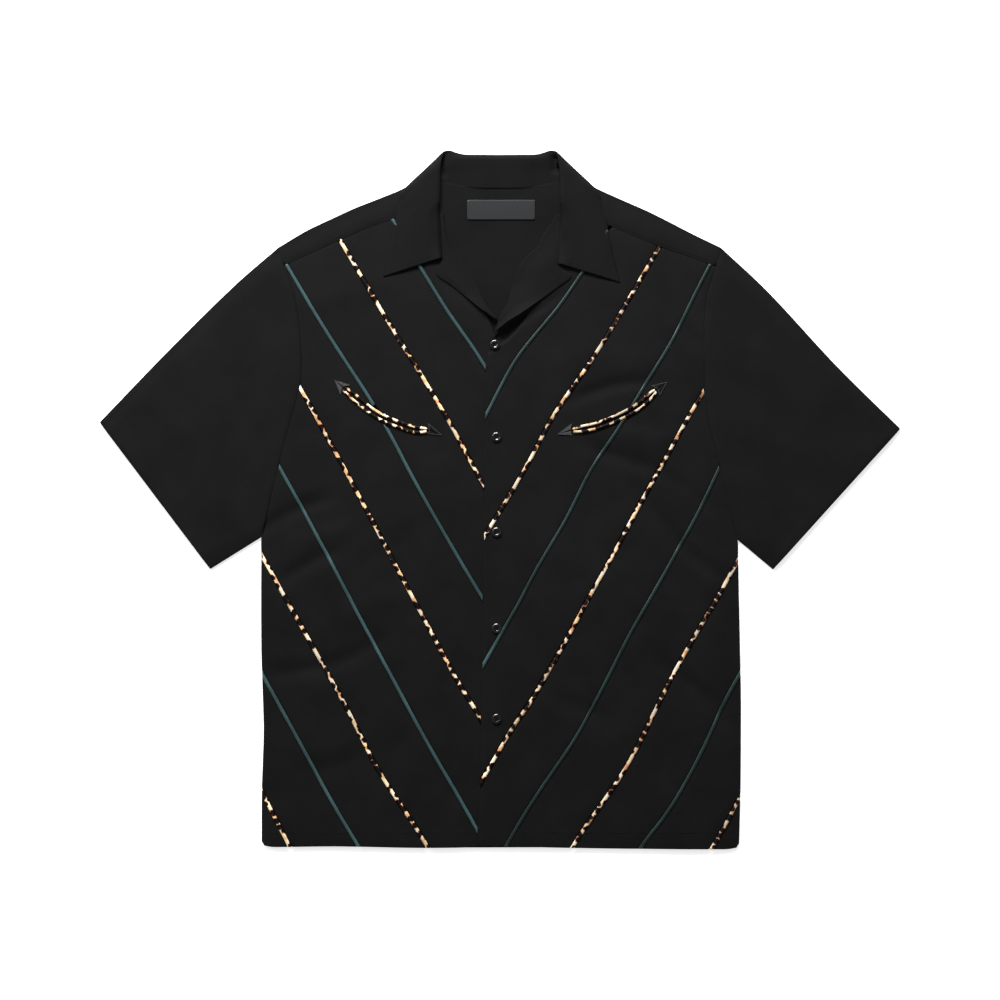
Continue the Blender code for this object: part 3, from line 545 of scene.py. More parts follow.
def mesh_from(bm, name, finish):
    """A mesh object from a bmesh, with its faces turned outwards."""
    bmesh.ops.recalc_face_normals(bm, faces=bm.faces)
    mesh = bpy.data.meshes.new(name)
    bm.to_mesh(mesh)
    bm.free()
    return show(name, mesh, finish)


# %% A sheet that follows a surface
EDGE_SHARE = 0.47     # radius of the round edge, as a share of the thickness
DIP_REACH = 3.5       # mm over which a sewn edge is pulled down


def border_walls(triangles, count):
    """Faces that join the border of a net to the same border of its underside."""
    uses = {}
    for triangle in triangles:
        for a, b in zip(triangle, triangle[1:] + triangle[:1]):
            key = (min(a, b), max(a, b))
            uses[key] = None if key in uses else (a, b)
    return [(a, a + count, b + count, b) for a, b in filter(None, uses.values())]


def cloth_sheet(name, outline, top, finish, step=4.5, thickness=CLOTH, dip=0.35, on_table=False):
    """A closed sheet whose upper side follows top(x, y) and whose edge is round."""
    flat, triangles, border, area = net(outline, step)
    x, y = flat[:, 0], flat[:, 1]
    roll = edge_roll(border, thickness * EDGE_SHARE)
    height = top(x, y) - dip * np.exp(-border / DIP_REACH)
    upper = np.stack([x, y, height - roll], axis=1)
    lower = np.stack([x, y, roll if on_table else height - thickness + roll], axis=1)
    count = len(flat)
    faces = [tuple(t) for t in triangles]
    faces += [tuple(i + count for i in reversed(t)) for t in triangles]
    faces += border_walls(triangles, count)
    made = add_mesh(name, np.concatenate([upper, lower]), faces, finish)
    made["cloth_area"] = area * MM * MM
    return made


print("thickness of the cloth:", CLOTH, "mm")

# %% [markdown]
#
# Every piece rides on the shirt's one body and stands for a CAD node. The
# narrowest box round the outline, found by turning it, is the piece of cloth that
# a cutter needs.

# %% The size of a piece of cloth, and the nodes it stands for
def cut_size(points):
    """Width and length in metres of the narrowest box round points in plan."""
    points = np.asarray(points)
    best = None
    for turn in range(0, 180, 2):
        angle = math.radians(turn)
        across = points @ np.array([math.cos(angle), math.sin(angle)])
        along = points @ np.array([-math.sin(angle), math.cos(angle)])
        size = (np.ptp(across), np.ptp(along))
        if best is None or size[0] * size[1] < best[0] * best[1]:
            best = size
    return min(best) * MM, max(best) * MM


def wear(piece, slot, *nodes):
    """The piece rides on the shirt's body and stands for these CAD nodes, which are hidden. slot is not used.
    """
    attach(piece, "root")
    if nodes:
        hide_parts(*nodes)


def declare_cloth(flat):
    tuple(flat)


print("narrowest box round the back yoke:", [round(v, 3) for v in cut_size(pattern_outline("yoke_back"))])

# %% [markdown]
# ## The black cloth
#
# It is a fine twill: threads of warp and weft cross in a pattern that reads as
# small diagonal ribs. A wave texture gives the ribs, a second one the threads
# across them, and together they drive a bump. The colour is a near black that
# varies a little, as dyed cloth does. Each panel is cut along its own grain, so
# the pattern is turned by an angle: straight for the back, and along the joint
# for the strips.

# %% Node helpers
def new_finish(name, values):
    """A material with values set on its Principled shader's own sockets."""
    made = bpy.data.materials.new(name)
    made.use_nodes = True
    shader = made.node_tree.nodes["Principled BSDF"]
    for socket, value in values.items():
        shader.inputs[socket].default_value = value
    return made


def add_node(finish, kind, inputs=None, **settings):
    """A node, with attributes from settings and sockets from inputs."""
    tree = finish.node_tree
    made = tree.nodes.new(kind)
    for key, value in settings.items():
        setattr(made, key, value)
    for socket, value in (inputs or {}).items():
        if isinstance(value, bpy.types.NodeSocket):
            tree.links.new(value, made.inputs[socket])
        else:
            made.inputs[socket].default_value = value
    return made


def connect(finish, output, socket):
    shader = finish.node_tree.nodes["Principled BSDF"]
    finish.node_tree.links.new(output, shader.inputs[socket])


def ramp(finish, factor, stops):
    """A colour ramp with (position, colour) stops."""
    made = add_node(finish, "ShaderNodeValToRGB", {"Fac": factor})
    points = made.color_ramp.elements
    while len(points) < len(stops):
        points.new(0.5)
    for point, (position, colour) in zip(points, stops):
        point.position = position
        point.color = (*colour, 1)
    return made.outputs["Color"]


def add_bump(finish, height, strength, distance):
    bump = add_node(finish, "ShaderNodeBump", {"Height": height, "Strength": strength, "Distance": distance})
    connect(finish, bump.outputs["Normal"], "Normal")


def calculated(finish, operation, first, second):
    """The result of a calculation with two values or sockets."""
    return add_node(finish, "ShaderNodeMath", {0: first, 1: second}, operation=operation).outputs[0]


print("node helpers ready")

# %% [markdown]
# The same function makes the cloth for each grain, so all panels match.

# %% The twill
RIB = 0.85 * MM       # from one diagonal rib to the next
WAVE_TURN = 20        # Blender's wave texture has 20 radians in each unit
DARKEST, LIGHTEST = 0.0034, 0.0052


def wave(finish, place, period, direction, distortion=0.0):
    """Ribs in one direction, a period apart."""
    inputs = {"Vector": place, "Scale": 2 * math.pi / (WAVE_TURN * period), "Distortion": distortion}
    made = add_node(finish, "ShaderNodeTexWave", inputs, wave_type="BANDS", bands_direction=direction)
    return made.outputs["Fac"]


def twill(name, grain, tone=1.0):
    """Black cloth whose grain is turned by an angle in degrees; tone scales the colour, and below 1 it is
    painted shade.
    """
    made = new_finish(name, {"Roughness": 0.78, "Specular IOR Level": 0.10})
    place = add_node(made, "ShaderNodeTexCoord").outputs["Object"]
    turn = {"Vector": place, "Rotation": (0, 0, math.radians(grain))}
    turned = add_node(made, "ShaderNodeMapping", turn).outputs["Vector"]
    shade = add_node(made, "ShaderNodeTexNoise", {"Vector": place, "Scale": 26.0, "Detail": 4.0})
    stops = [(0.30, (DARKEST * tone,) * 3), (0.72, (LIGHTEST * tone,) * 3)]
    connect(made, ramp(made, shade.outputs["Fac"], stops), "Base Color")
    ribs, threads = wave(made, turned, RIB, "DIAGONAL", 0.6), wave(made, turned, RIB * 0.7, "X")
    slub = add_node(made, "ShaderNodeTexNoise", {"Vector": turned, "Scale": 420.0, "Detail": 2.0})
    woven = calculated(made, "ADD", ribs, threads)
    add_bump(made, calculated(made, "ADD", woven, slub.outputs["Fac"]), 0.35, 0.12 * MM)
    return made


# Back, yokes, collar and lapels share a colour darkened to 0.85: painted shade, standing in for the shade that
# collar and yokes get round the neck.
twill_straight_shaded = twill("twill_straight_shaded", 0, 0.85)
twill_of = {"left": twill("twill_left", 59), "right": twill("twill_right", -59)}
twill_sleeve = {"left": twill("twill_sleeve_left", 47), "right": twill("twill_sleeve_right", -47)}
print("grains of twill:", 5)

# %% [markdown]
# ## Back and yokes
#
# The back lies on the table, so its underside is flat. Its yoke is a second
# piece of cloth, which shows inside the neck. Both are laid with the sheet from
# above. The front yokes are the narrow pieces on the shoulders.

# %% Tops and outlines of back and yokes
BACK_TOP = 1.15       # mm, upper side of the back
BACK_WALL = 1.1       # mm, thickness of back and back yoke
LAP, CORD_LAP = 0.9, 1.9      # mm that a front yoke reaches over the strips, and more over a cord
CORD_AT = 117         # mm from the middle to the end of that cord


def back_top(x, y):
    return BACK_TOP + 0.12 * unevenness(np.asarray(x), np.asarray(y), 9)


def yoke_top(x, y):
    return yoke_base(x, y) + 0.10 * unevenness(np.asarray(x), np.asarray(y), 9)


def run_under_collar(outline):
    """Run the shoulder line straight on to the place where the collar crosses it."""
    x, y = np.abs(outline[:, 0]), outline[:, 1]
    line = shoulder_line(x)
    near = (x > 99) & (x < SHOULDER_POINT[0]) & (y > line - 9)
    outline[near, 1] = line[near]
    return outline


def outward_of(outline):
    """The way out of an outline at each of its points."""
    run = np.roll(outline, -1, axis=0) - np.roll(outline, 1, axis=0)
    turn = np.sign(np.cross(outline, np.roll(outline, -1, axis=0)).sum())
    return np.column_stack([run[:, 1], -run[:, 0]]) / np.linalg.norm(run, axis=1)[:, None] * turn


def lap_over(outline):
    """Move the lower edge of a yoke down, over the strips and over the end of the first cord."""
    outward = outward_of(outline)
    lap = LAP + CORD_LAP * np.exp(-(((outline[:, 0] + CORD_AT) / 8) ** 2))
    return outline + outward * (lap * (outward[:, 1] < -0.5))[:, None]


print("the back's upper side:", BACK_TOP, "mm")

# %% Lay back and yokes
outline = cut_piece("back", 6)
back = cloth_sheet("back_cloth", outline, back_top, twill_straight_shaded, step=8, thickness=BACK_WALL, dip=0.0,
                   on_table=True)
wear(back, "cloth", "back")
declare_cloth(cut_size(outline))
outline = run_under_collar(cut_piece("yoke_back"))
yoke_back = cloth_sheet("yoke_back_cloth", outline, yoke_top, twill_straight_shaded, step=5, thickness=BACK_WALL,
                        dip=0.0)
wear(yoke_back, "cloth", "yoke_back")
declare_cloth(cut_size(outline))
for side in SIDES:
    outline = lap_over(run_under_collar(cut_piece(f"yoke_front_{side}")))
    lapped = lambda x, y, side=side: top_of[side](x, y) + 0.35
    yoke = cloth_sheet(f"yoke_front_{side}_cloth", outline, lapped, twill_straight_shaded)
    wear(yoke, "cloth", f"yoke_front_{side}")
    declare_cloth(cut_size(outline))
print("back area:", round(back["cloth_area"], 3), "square metres")

# %% [markdown]
# The joints are sewn straight, but nobody lays out a shirt with a ruler. Here
# and there a seam bows by a few millimetres. Strips and cords are moved by the
# same smooth shift, so nothing opens between them, and at the edges of the
# front the cloth only slides along the edge.

# %% Seams that bow
# x, y, shift across the joint, radius
SHIFTS = {
    "left": [(-55, 215, -3.4, 45), (-80, 262, -2.4, 30), (-140, 95, 4.5, 70), (-60, 75, 1.2, 45),
             (-120, -150, -2.0, 90), (-128, -290, -5.2, 60), (-45, -190, -1.5, 45), (-200, 60, -1.7, 50)],
    "right": [(62, 215, 5.4, 50), (100, 262, 2.4, 35), (60, 95, -3.6, 45), (105, 25, -4.4, 45),
              (200, 160, 2.8, 45), (205, -20, 4.9, 60), (150, -85, 4.6, 55), (100, -160, 4.6, 60),
              (85, -250, 8.0, 72), (175, -320, 6.8, 60), (215, -265, 4.0, 50), (30, -60, -2.2, 50)],
}
ACROSS = {"left": (0.88, 0.48), "right": (0.87, -0.50)}


def settled(side, points):
    """Points in plan, shifted as the front has settled; a border only slides along itself."""
    points = np.array(points, float)
    x, y = points[:, 0], points[:, 1]
    shift = sum(far * np.exp(-((x - cx) ** 2 + (y - cy) ** 2) / radius**2)
                for cx, cy, far, radius in SHIFTS[side])
    shift = shift * smoothstep((296 - y) / 34)
    aside = smoothstep((258 - np.abs(x)) / 28) * smoothstep((np.abs(x + 4) - 14) / 22)
    down = smoothstep((y + 377) / 38)
    return points + np.column_stack([shift * aside * ACROSS[side][0], shift * down * ACROSS[side][1]])


print("shift on the lower right:", settled("right", [(100, -230)]).round(1) - (100, -230), "mm")

# %% [markdown]
# ## The strips
#
# Nine strips make each front. Beside a cord the cloth is pulled by the seam,
# so it puckers: short ripples that die out a centimetre away. They are random
# numbers stretched across the joint, so each ripple runs into the seam.

# %% Puckers beside the cords
JOINT_SLOPE = {"left": -59, "right": 59}     # degrees
HEM_LINE, HEM_RISE = -357, 0.2     # mm: where the turned-up hem ends, and how much it adds
EDGE_GAP = 0.7        # mm that the left front stops short of the right one's edge


def puckered(side):
    """The top of a front with ripples that run into its joints."""
    angle = math.radians(JOINT_SLOPE[side])

    def height(x, y):
        along = x * math.cos(angle) + y * math.sin(angle)
        across = -x * math.sin(angle) + y * math.cos(angle)
        hem = HEM_RISE * smoothstep((HEM_LINE - y) / 2)
        return top_of[side](x, y) + hem + 0.10 * random_relief(along, across, 6.5, 21)

    return height


for side in SIDES:
    for node in STRIPS[side]:
        outline = settled(side, cut_piece(node))
        laid = outline.copy()
        if side == "left":
            laid[:, 0] -= EDGE_GAP * (laid[:, 0] > -22)
        step = 2.0 if node == "strip_right_1" else 4.5     # the hollow needs a finer net
        strip = cloth_sheet(f"{node}_cloth", laid, puckered(side), twill_of[side], step=step)
        wear(strip, "cloth", node)
        declare_cloth(cut_size(outline))
print("strips:", sum(len(nodes) for nodes in STRIPS.values()))

# %% [markdown]
# ## A sheet with a fold in it
#
# Collar, lapels and sleeves don't lie flat: they are folded over. Such a sheet
# is a grid of points on its middle surface. Each point is pushed out along the
# normal to both sides by half a thickness, and at the rim the two sides come
# together, so the edge is round there too.

# %% Finer grids
RIM = (0.1, 0.4)      # mm, extra lines of points beside a free edge


def with_rims(picks, length):
    """Distances along a line, with the extra ones at both ends."""
    return [0, *RIM, *picks, length - RIM[1], length - RIM[0], length]


def distance_along(points):
    return np.concatenate([[0], np.cumsum(np.linalg.norm(np.diff(points, axis=0), axis=1))])


def resampled(points, parts):
    """A smooth line through the points, with this many parts from each point to the next."""
    along, length = smooth_path(points)
    at = distance_along(points)
    picks = [p for i, n in enumerate(parts) for p in np.linspace(at[i], at[i + 1], n, endpoint=False)]
    return along(with_rims(picks[1:], length))


def refined(rows, across_steps, down_step):
    """A fine grid through a coarse one; across_steps gives the parts in each coarse cell."""
    fine = np.array([resampled(row, across_steps) for row in rows])
    gaps = np.linalg.norm(np.diff(fine, axis=0), axis=2).max(axis=1)
    parts = [max(1, round(gap / down_step)) for gap in gaps]
    columns = [resampled(fine[:, j], parts) for j in range(fine.shape[1])]
    return np.array(columns).transpose(1, 0, 2)


print("lines of points at a rim:", len(RIM) + 1)

# %% [markdown]
# Two grids, one for each side of the cloth, are closed along their rims. A sleeve
# is such a sheet too, but there the last column meets the first.

# %% A closed sheet from two grids
def measured(piece, grid):
    """Note on a piece how large its cloth is when it lies flat."""
    run, rise = grid[1:, :-1] - grid[:-1, :-1], grid[:-1, 1:] - grid[:-1, :-1]
    piece["cloth_area"] = float(np.linalg.norm(np.cross(run, rise), axis=2).sum()) * MM * MM
    down = np.linalg.norm(np.diff(grid, axis=0), axis=2).sum(axis=0).max()
    across = np.linalg.norm(np.diff(grid, axis=1), axis=2).sum(axis=1).max()
    piece["cloth_flat"] = sorted((float(down) * MM, float(across) * MM))


def shell(name, outer, inner, finish, tube=False):
    """A closed sheet between two grids; in a tube the last column meets the first."""
    rows, columns = outer.shape[:2]
    size = rows * columns
    index = np.arange(size).reshape(rows, columns)
    if tube:
        rims = [index[0], index[-1]]
        index = np.concatenate([index, index[:, :1]], axis=1)
    else:
        rims = [np.concatenate([index[0, :-1], index[:-1, -1], index[-1, :0:-1], index[:0:-1, 0]])]
    a, b, c, d = index[:-1, :-1], index[:-1, 1:], index[1:, 1:], index[1:, :-1]
    sides = [np.stack(corners, axis=2).reshape(-1, 4) for corners in ((a, d, c, b), (a, b, c, d))]
    faces = sides[tube].tolist() + (sides[not tube] + size).tolist()
    for rim in rims:
        faces += [(i, j, j + size, i + size) for i, j in zip(rim, np.roll(rim, -1))]
    made = add_mesh(name, np.concatenate([outer.reshape(-1, 3), inner.reshape(-1, 3)]), faces, finish)
    bm = bmesh.new()
    bm.from_mesh(made.data)
    bmesh.ops.recalc_face_normals(bm, faces=bm.faces)
    bm.to_mesh(made.data)
    bm.free()
    return made


print("a closed sheet has", 2, "sides and a rim")

# %% A leaf of cloth
TAPER = (0.25, 0.62, 0.93)    # share of the thickness on the first lines at a rim


def grid_normals(grid):
    normal = np.cross(np.gradient(grid, axis=0), np.gradient(grid, axis=1))
    return normal / np.linalg.norm(normal, axis=2)[:, :, None]


def leaf_piece(name, grid, thickness, finish):
    """A closed sheet from a grid of points on its middle surface."""
    rows, columns = grid.shape[:2]
    half = np.full((rows, columns), thickness / 2)
    for k, share in enumerate(TAPER):
        half[[k, -1 - k], k:columns - k] = thickness / 2 * share
        half[k:rows - k, [k, -1 - k]] = thickness / 2 * share
    push = grid_normals(grid) * half[:, :, None]
    made = shell(name, grid + push, grid - push, finish)
    measured(made, grid)
    return made


print("lines that taper at a rim:", len(TAPER))

# %% [markdown]
# ## The collar
#
# A camp collar is one leaf of cloth. It is sewn to the neck, stands up a
# little, rolls over, and falls flat on the shoulders. Each station below is one
# cross-section from the neck seam to the free edge, in the order seam, top of
# the stand, roll, start of the fall, edge. They run from the front edge of the
# collar to the middle of the back, where the fall lies underneath. The other
# half is the mirror image, but its point hangs a few millimetres lower.

# %% Stations of the collar
COLLAR = [
    ((-62.4, 260.8, 5.3), (-64.2, 260.3, 7.4), (-67.5, 259.4, 8.6), (-76, 256.8, 7.6), (-125.5, 240.6, 6.8)),
    ((-63.4, 279, 5.3), (-66.8, 279, 5.8), (-71, 278.4, 6.8), (-79, 276.6, 7.6), (-119.5, 268.5, 6.7)),
    ((-64.4, 297, 5.3), (-67.6, 297, 5.8), (-71.5, 296.8, 6.8), (-79, 296, 7.6), (-115, 294, 6.7)),
    ((-65.4, 308.5, 5.2), (-67.4, 308.8, 5.8), (-70.6, 309, 6.9), (-77, 309, 7.7), (-112.2, 304, 6.6)),
    ((-67.0, 314.6, 4.9), (-66.6, 314.8, 5.9), (-68.2, 315, 7.1), (-73, 315, 7.8), (-111.0, 308.8, 6.6)),
    ((-71.0, 319, 4.6), (-67.0, 319.4, 5.1), (-65.8, 319.6, 6.5), (-68.5, 319.6, 7.9), (-110.4, 312.4, 6.5)),
    ((-74.0, 326, 4.4), (-67.2, 328, 4.9), (-65.0, 328.4, 6.5), (-67.6, 328.2, 8.0), (-109.4, 318.5, 6.4)),
    ((-75.0, 336, 4.0), (-67.2, 346, 4.6), (-64.9, 347.2, 6.7), (-67.6, 346.4, 8.1), (-108.4, 326.6, 6.2)),
    ((-74.4, 341.0, 3.0), (-66.0, 361.6, 4.0), (-63.6, 364.0, 6.9), (-67.0, 362.4, 7.9), (-107.6, 330.4, 5.4)),
    ((-73.0, 343.4, 1.6), (-64.4, 366.8, 3.0), (-60.6, 374.4, 5.6), (-66.0, 370.4, 5.0), (-105.6, 333.0, 3.5)),
    ((-70.2, 343.4, 1.2), (-61.6, 368.4, 2.6), (-57.4, 376.2, 4.2), (-61.0, 372.8, 2.0), (-104.6, 333.4, 1.7)),
    ((-64.0, 342.6, 1.5), (-56.4, 369.0, 3.4), (-53.6, 376.4, 3.2), (-56.6, 372.4, 0.8), (-102.6, 333.0, 0.8)),
    ((-57.6, 343.0, 2.1), (-50.0, 368.6, 4.3), (-48.4, 374.6, 2.9), (-51.2, 370.6, 0.5), (-99, 331.8, 0.5)),
    ((-43.2, 340.2, 2.3), (-39.4, 368, 4.6), (-39.2, 372.4, 2.7), (-40.6, 368.4, 0.5), (-79.4, 328.6, 0.5)),
    ((-20, 339.2, 2.6), (-20, 367.7, 4.7), (-20, 372.0, 2.7), (-21, 367.9, 0.5), (-40.5, 325.4, 0.5)),
    ((0, 339.0, 2.6), (0, 367.5, 4.7), (0, 371.8, 2.7), (0, 367.7, 0.5), (0, 324.4, 0.5)),
]
RIGHT_SAG = [-6.2, -4, -2.4, -1]     # mm, at the right point and on the stations after it


def all_stations():
    """The stations of the table, and after them their mirror images with the sag."""
    right = []
    for i, station in enumerate(COLLAR[:-1]):
        sag = RIGHT_SAG[i] if i < len(RIGHT_SAG) else 0
        right.append([(-x + sag * (x + 63) / 100, y + sag, z) for x, y, z in station])
    return COLLAR + right[::-1]


print("stations round the neck:", len(all_stations()))

# %% [markdown]
# A station gives five points. Between them the roll has to be round, as cloth
# never turns sharply, so more points are put in along each section.

# %% Sections of the collar
LEAF = 1.0            # mm, thickness of the collar
COLLAR_PARTS = (8, 7, 3, 3, 3, 3, 4, 4, 4)         # from each point of a section to the next
STAND_COLUMNS = sum(COLLAR_PARTS[:3]) + len(RIM) - 1
FALL_COLUMN = sum(COLLAR_PARTS[:6]) + len(RIM)     # the line of points where the fall starts


def collar_section(station):
    """Ten points across the collar, with the roll rounded off."""
    seam, stand, roll, fall, edge = [np.array(p, float) for p in station]
    if seam[1] < 312:                       # the front, where the collar runs into the lapel
        side = "left" if seam[0] < 0 else "right"
        seam[2] = float(top_of[side](seam[0], seam[1])) + 1.0
    elif abs(seam[0]) < 66:                 # the back of the neck, where it lies on the yoke
        seam = seam + (0, -3.2, 0)
        seam[2] = float(yoke_top(seam[0], seam[1])) + 0.25 - 1.1 * smoothstep((abs(seam[0]) - 20) / 14)
    bulge = (roll - (stand + fall) / 2) * 0.18
    middle = seam + (stand - seam) * (0.55, 0.55, 0.40 if seam[1] > 330 else 0.55)
    return np.array([
        seam, middle, stand, (stand + roll) / 2 + bulge, roll,
        (fall + roll) / 2 + bulge, fall, fall + (edge - fall) * 0.33, fall + (edge - fall) * 0.67, edge,
    ])


collar_grid = refined([collar_section(s) for s in all_stations()], COLLAR_PARTS, 2.0)
print("points in the collar's grid:", collar_grid.shape[:2])

# %% [markdown]
# The collar has weight too. Its fall lies on the shoulders, and only its edge at
# the front stands up a little. At the back the stand is squeezed in beside each
# roll, which leaves deep, dark hollows there.

# %% Press the collar down
HOLLOWS = [     # x beside the roll, x of the far side, y from, y to, floor, width of the slope
    (-65.5, -60.0, 351, 373, 0.6, 0.45), (65.5, 53.5, 352, 371, 0.2, 0.8), (-65.5, -57.0, 348, 356, 0.9, 0.6),
]


def press_down(grid):
    """Lay the outer part of the fall on the shoulder; only near the front does its edge stand up."""
    fall = grid[:, FALL_COLUMN:]
    x, y = fall[:, :, 0], fall[:, :, 1]
    rest = np.where(x < 0, top_of["left"](x, y), top_of["right"](x, y)) + LEAF / 2 - 0.2
    from_front = distance_along(fall[:, -1])
    from_front = np.minimum(from_front, from_front[-1] - from_front)[:, None]
    outer = smoothstep((np.linspace(0, 1, fall.shape[1]) - 0.35) / 0.65)[None, :]
    in_front = smoothstep((332 - fall[:, -1:, 1]) / 10) * (fall[:, :1, 2] > 4)
    standing = 0.45 * np.exp(-((from_front / 9) ** 2)) * (1 - 0.6 * outer)
    fall[:, :, 2] += (rest + standing - fall[:, :, 2]) * outer * in_front


def press_hollows(grid):
    """Press the stand down to the floor of each hollow."""
    stand = grid[:, :STAND_COLUMNS]
    for near, far, low, high, floor_height, slope in HOLLOWS:
        across = (stand[:, :, 0] - near) / (far - near)
        up = (stand[:, :, 1] - low) / (high - low)
        inside = smoothstep((1.15 - across) / slope) * (across > -0.5)
        inside = inside * smoothstep((up + 0.12) / (0.45 * slope)) * smoothstep((1.1 - up) / 0.15)
        stand[:, :, 2] += (floor_height - stand[:, :, 2]) * inside * (stand[:, :, 2] > floor_height)


press_down(collar_grid)
press_hollows(collar_grid)
print("highest point of the collar:", round(float(collar_grid[:, :, 2].max()), 1), "mm")

# %% The collar leaf
x, y, z = (collar_grid[:, :, i] for i in range(3))     # views: a change to z changes the grid
z -= smoothstep((y - 322) / 10) * smoothstep((z - 3.5) / 2) * shoulder_drop(x, y)
z += np.clip((z - 6.6) / 1.0, 0, 1) * 0.25 * random_relief(x, y, 34, 5)
np.maximum(z, LEAF / 2, out=z)
collar = leaf_piece("collar_leaf", collar_grid, LEAF, twill_straight_shaded)
wear(collar, "cloth", "collar")
declare_cloth(collar["cloth_flat"])
print("collar leaf, flat:", [round(v, 3) for v in collar["cloth_flat"]])

# %% [markdown]
# ## The lapels
#
# A lapel is the top of the front's facing, turned back over itself. Its rows
# run from the free edge to the roll, round the fold in half a circle, and a few
# millimetres back underneath, where the facing is sewn to the front.

# %% Rows of the lapels
FACING = 0.8          # mm, thickness of the facing
CLEAR = 0.3           # mm between two layers


LAPEL_LIFT = {        # mm that the free edge stands up, row by row
    "left": [0, 0, 0, 0, -0.1, 0.0, 0.1, 0.3, 1.0, 3.4, 4.4, 4.4],
    "right": [0, 0, 0, 0, 0, -0.1, 0.1, 0.3, 1.2, 4.6, 6.6, 6.8],
}


def lapel_row(side, roll, edge, lift):
    """Points across the lapel, from the free edge over the roll to the seam underneath."""
    roll, edge = np.array(roll, float), np.array(edge, float)
    length = np.linalg.norm(edge - roll)
    toward = (edge - roll) / length
    tight = FACING / 2 + 0.05            # radius of the roll
    row = []
    for t in (1.0, 0.8, 0.6, 0.4, 0.2, 0.08):
        spot = roll + toward * (tight + (length - tight) * t)
        row.append((*spot, float(top_of[side](*spot)) + FACING / 2 + 0.2 + lift * t * t))
    low = row[-1][2] - 2 * tight - 0.2
    for turn in (90, 135, 180, 225, 270):
        spot = roll + toward * tight * (1 + math.cos(math.radians(turn)))
        row.append((*spot, low + tight + math.sin(math.radians(turn)) * tight))
    row.append((*(roll + toward * min(6, length * 0.4)), low))
    return np.array(row)


print("points across a lapel:", len(lapel_row("left", *LAPEL["left"][5], 0)))

# %% The lapels
LAPEL_PARTS = (3, 3, 3, 3, 3, 2, 2, 2, 2, 2, 2)
lapel_line = {}       # 5 mm inside the free edge, for the stitches
for side in SIDES:
    rows = [lapel_row(side, *line, lift) for line, lift in zip(LAPEL[side], LAPEL_LIFT[side])]
    grid = refined(rows, LAPEL_PARTS, 3.0)
    lapel = leaf_piece(f"lapel_{side}_facing", grid, FACING, twill_straight_shaded)
    lapel_line[side] = grid[8:-4, 5] + (0, 0, FACING / 2 + 0.05)
    wear(lapel, "cloth", f"lapel_{side}")
    declare_cloth(lapel["cloth_flat"])
print("lapels:", 2)

# %% [markdown]
# ## The sleeves
#
# A short sleeve is a tube, pressed flat. Its section is a bottom wall, a fold,
# a top wall and another fold, and we sweep that section from the armhole to the
# cuff. At the armhole the wall dips, where the seam pulls it down.

# %% Armholes and cuffs
ARMHOLE = {
    "left": [(-257.5, -40), (-242, 23), (-223, 96), (-215.5, 126), (-215.5, 168), (-221, 217), (-240, 272)],
    "right": [(256.5, -43), (244, 6), (224, 88), (219.5, 122), (218.5, 168), (222, 217), (239, 272)],
}
SLEEVE = {
    "left": {"upper": [(-240, 272), (-286, 232), (-358, 161), (-432, 84)], "cuff": (-312.5, -74.5)},
    "right": {"upper": [(239, 272), (289, 225), (364, 144), (432, 77)], "cuff": (294.5, -75)},
}
SLEEVE_FOLDS = {
    "left": [(-258, 60, -300, -40, 18, -0.9), (-300, 190, -330, 60, 26, 0.8), (-262, 200, -270, 90, 20, -0.7)],
    "right": [(258, 50, 296, -40, 18, -0.9), (300, 190, 330, 60, 26, 0.8), (262, 200, 270, 90, 20, -0.7)],
}


def sleeve_plan(side):
    """A function that gives the plan position for u up the armhole and w along the sleeve."""
    armhole, seam = smooth_path(ARMHOLE[side])
    upper, length = smooth_path(SLEEVE[side]["upper"])
    inward = 0.3 if side == "left" else -0.3
    shoulder, tip = np.array(ARMHOLE[side][-1]), np.array(SLEEVE[side]["upper"][-1])
    corner = np.array(SLEEVE[side]["cuff"])

    def plan(u, w):
        at_seam = armhole(u * seam) + (inward, 0)
        at_cuff = corner + np.outer(u, tip - corner)
        bulge = upper([w * length])[0] - (shoulder + (tip - shoulder) * w)
        return at_seam * (1 - w) + at_cuff * w + np.outer(u * u, bulge)

    middle = np.array([0.5])
    return plan, np.linalg.norm(plan(middle, 1)[0] - plan(middle, 0)[0])


print("armhole, left:", round(smooth_path(ARMHOLE["left"])[1]), "mm")

# %% [markdown]
# The section is made first, all round, as points on the middle of the wall with
# the way out at each. The same section later carries the stitches of the cuff.

# %% One section of a sleeve
WALL = 1.2            # mm, thickness of a sleeve's wall
FOLD = 1.05           # mm, radius of the folded edges
SLEEVE_PUFF = 1.4     # mm that the upper wall floats
ACROSS_WALL = 56      # points across each wall
CUFF_HEM, CUFF_RISE = 19, 0.2     # mm: width of the turned-up hem, and how much it adds
FOLD_TURNS = ((-60, -30, 0, 30, 60), (120, 150, 180, 210, 240))     # degrees, at the upper and the lower edge


def upper_rise(side, spots, edge, w, from_seam):
    """How far the upper wall floats: less at its folded edges and at the armhole, more on the hem."""
    x, y = spots[:, 0], spots[:, 1]
    rise = SLEEVE_PUFF + fold_relief(x, y, SLEEVE_FOLDS[side]) + unevenness(x, y, 31)
    rise = rise * smoothstep(edge / 14) - math.exp(-from_seam / 3.0)
    length = from_seam / max(w, 0.01)
    return rise + CUFF_RISE * smoothstep((w * length - (length - CUFF_HEM)) / 2)


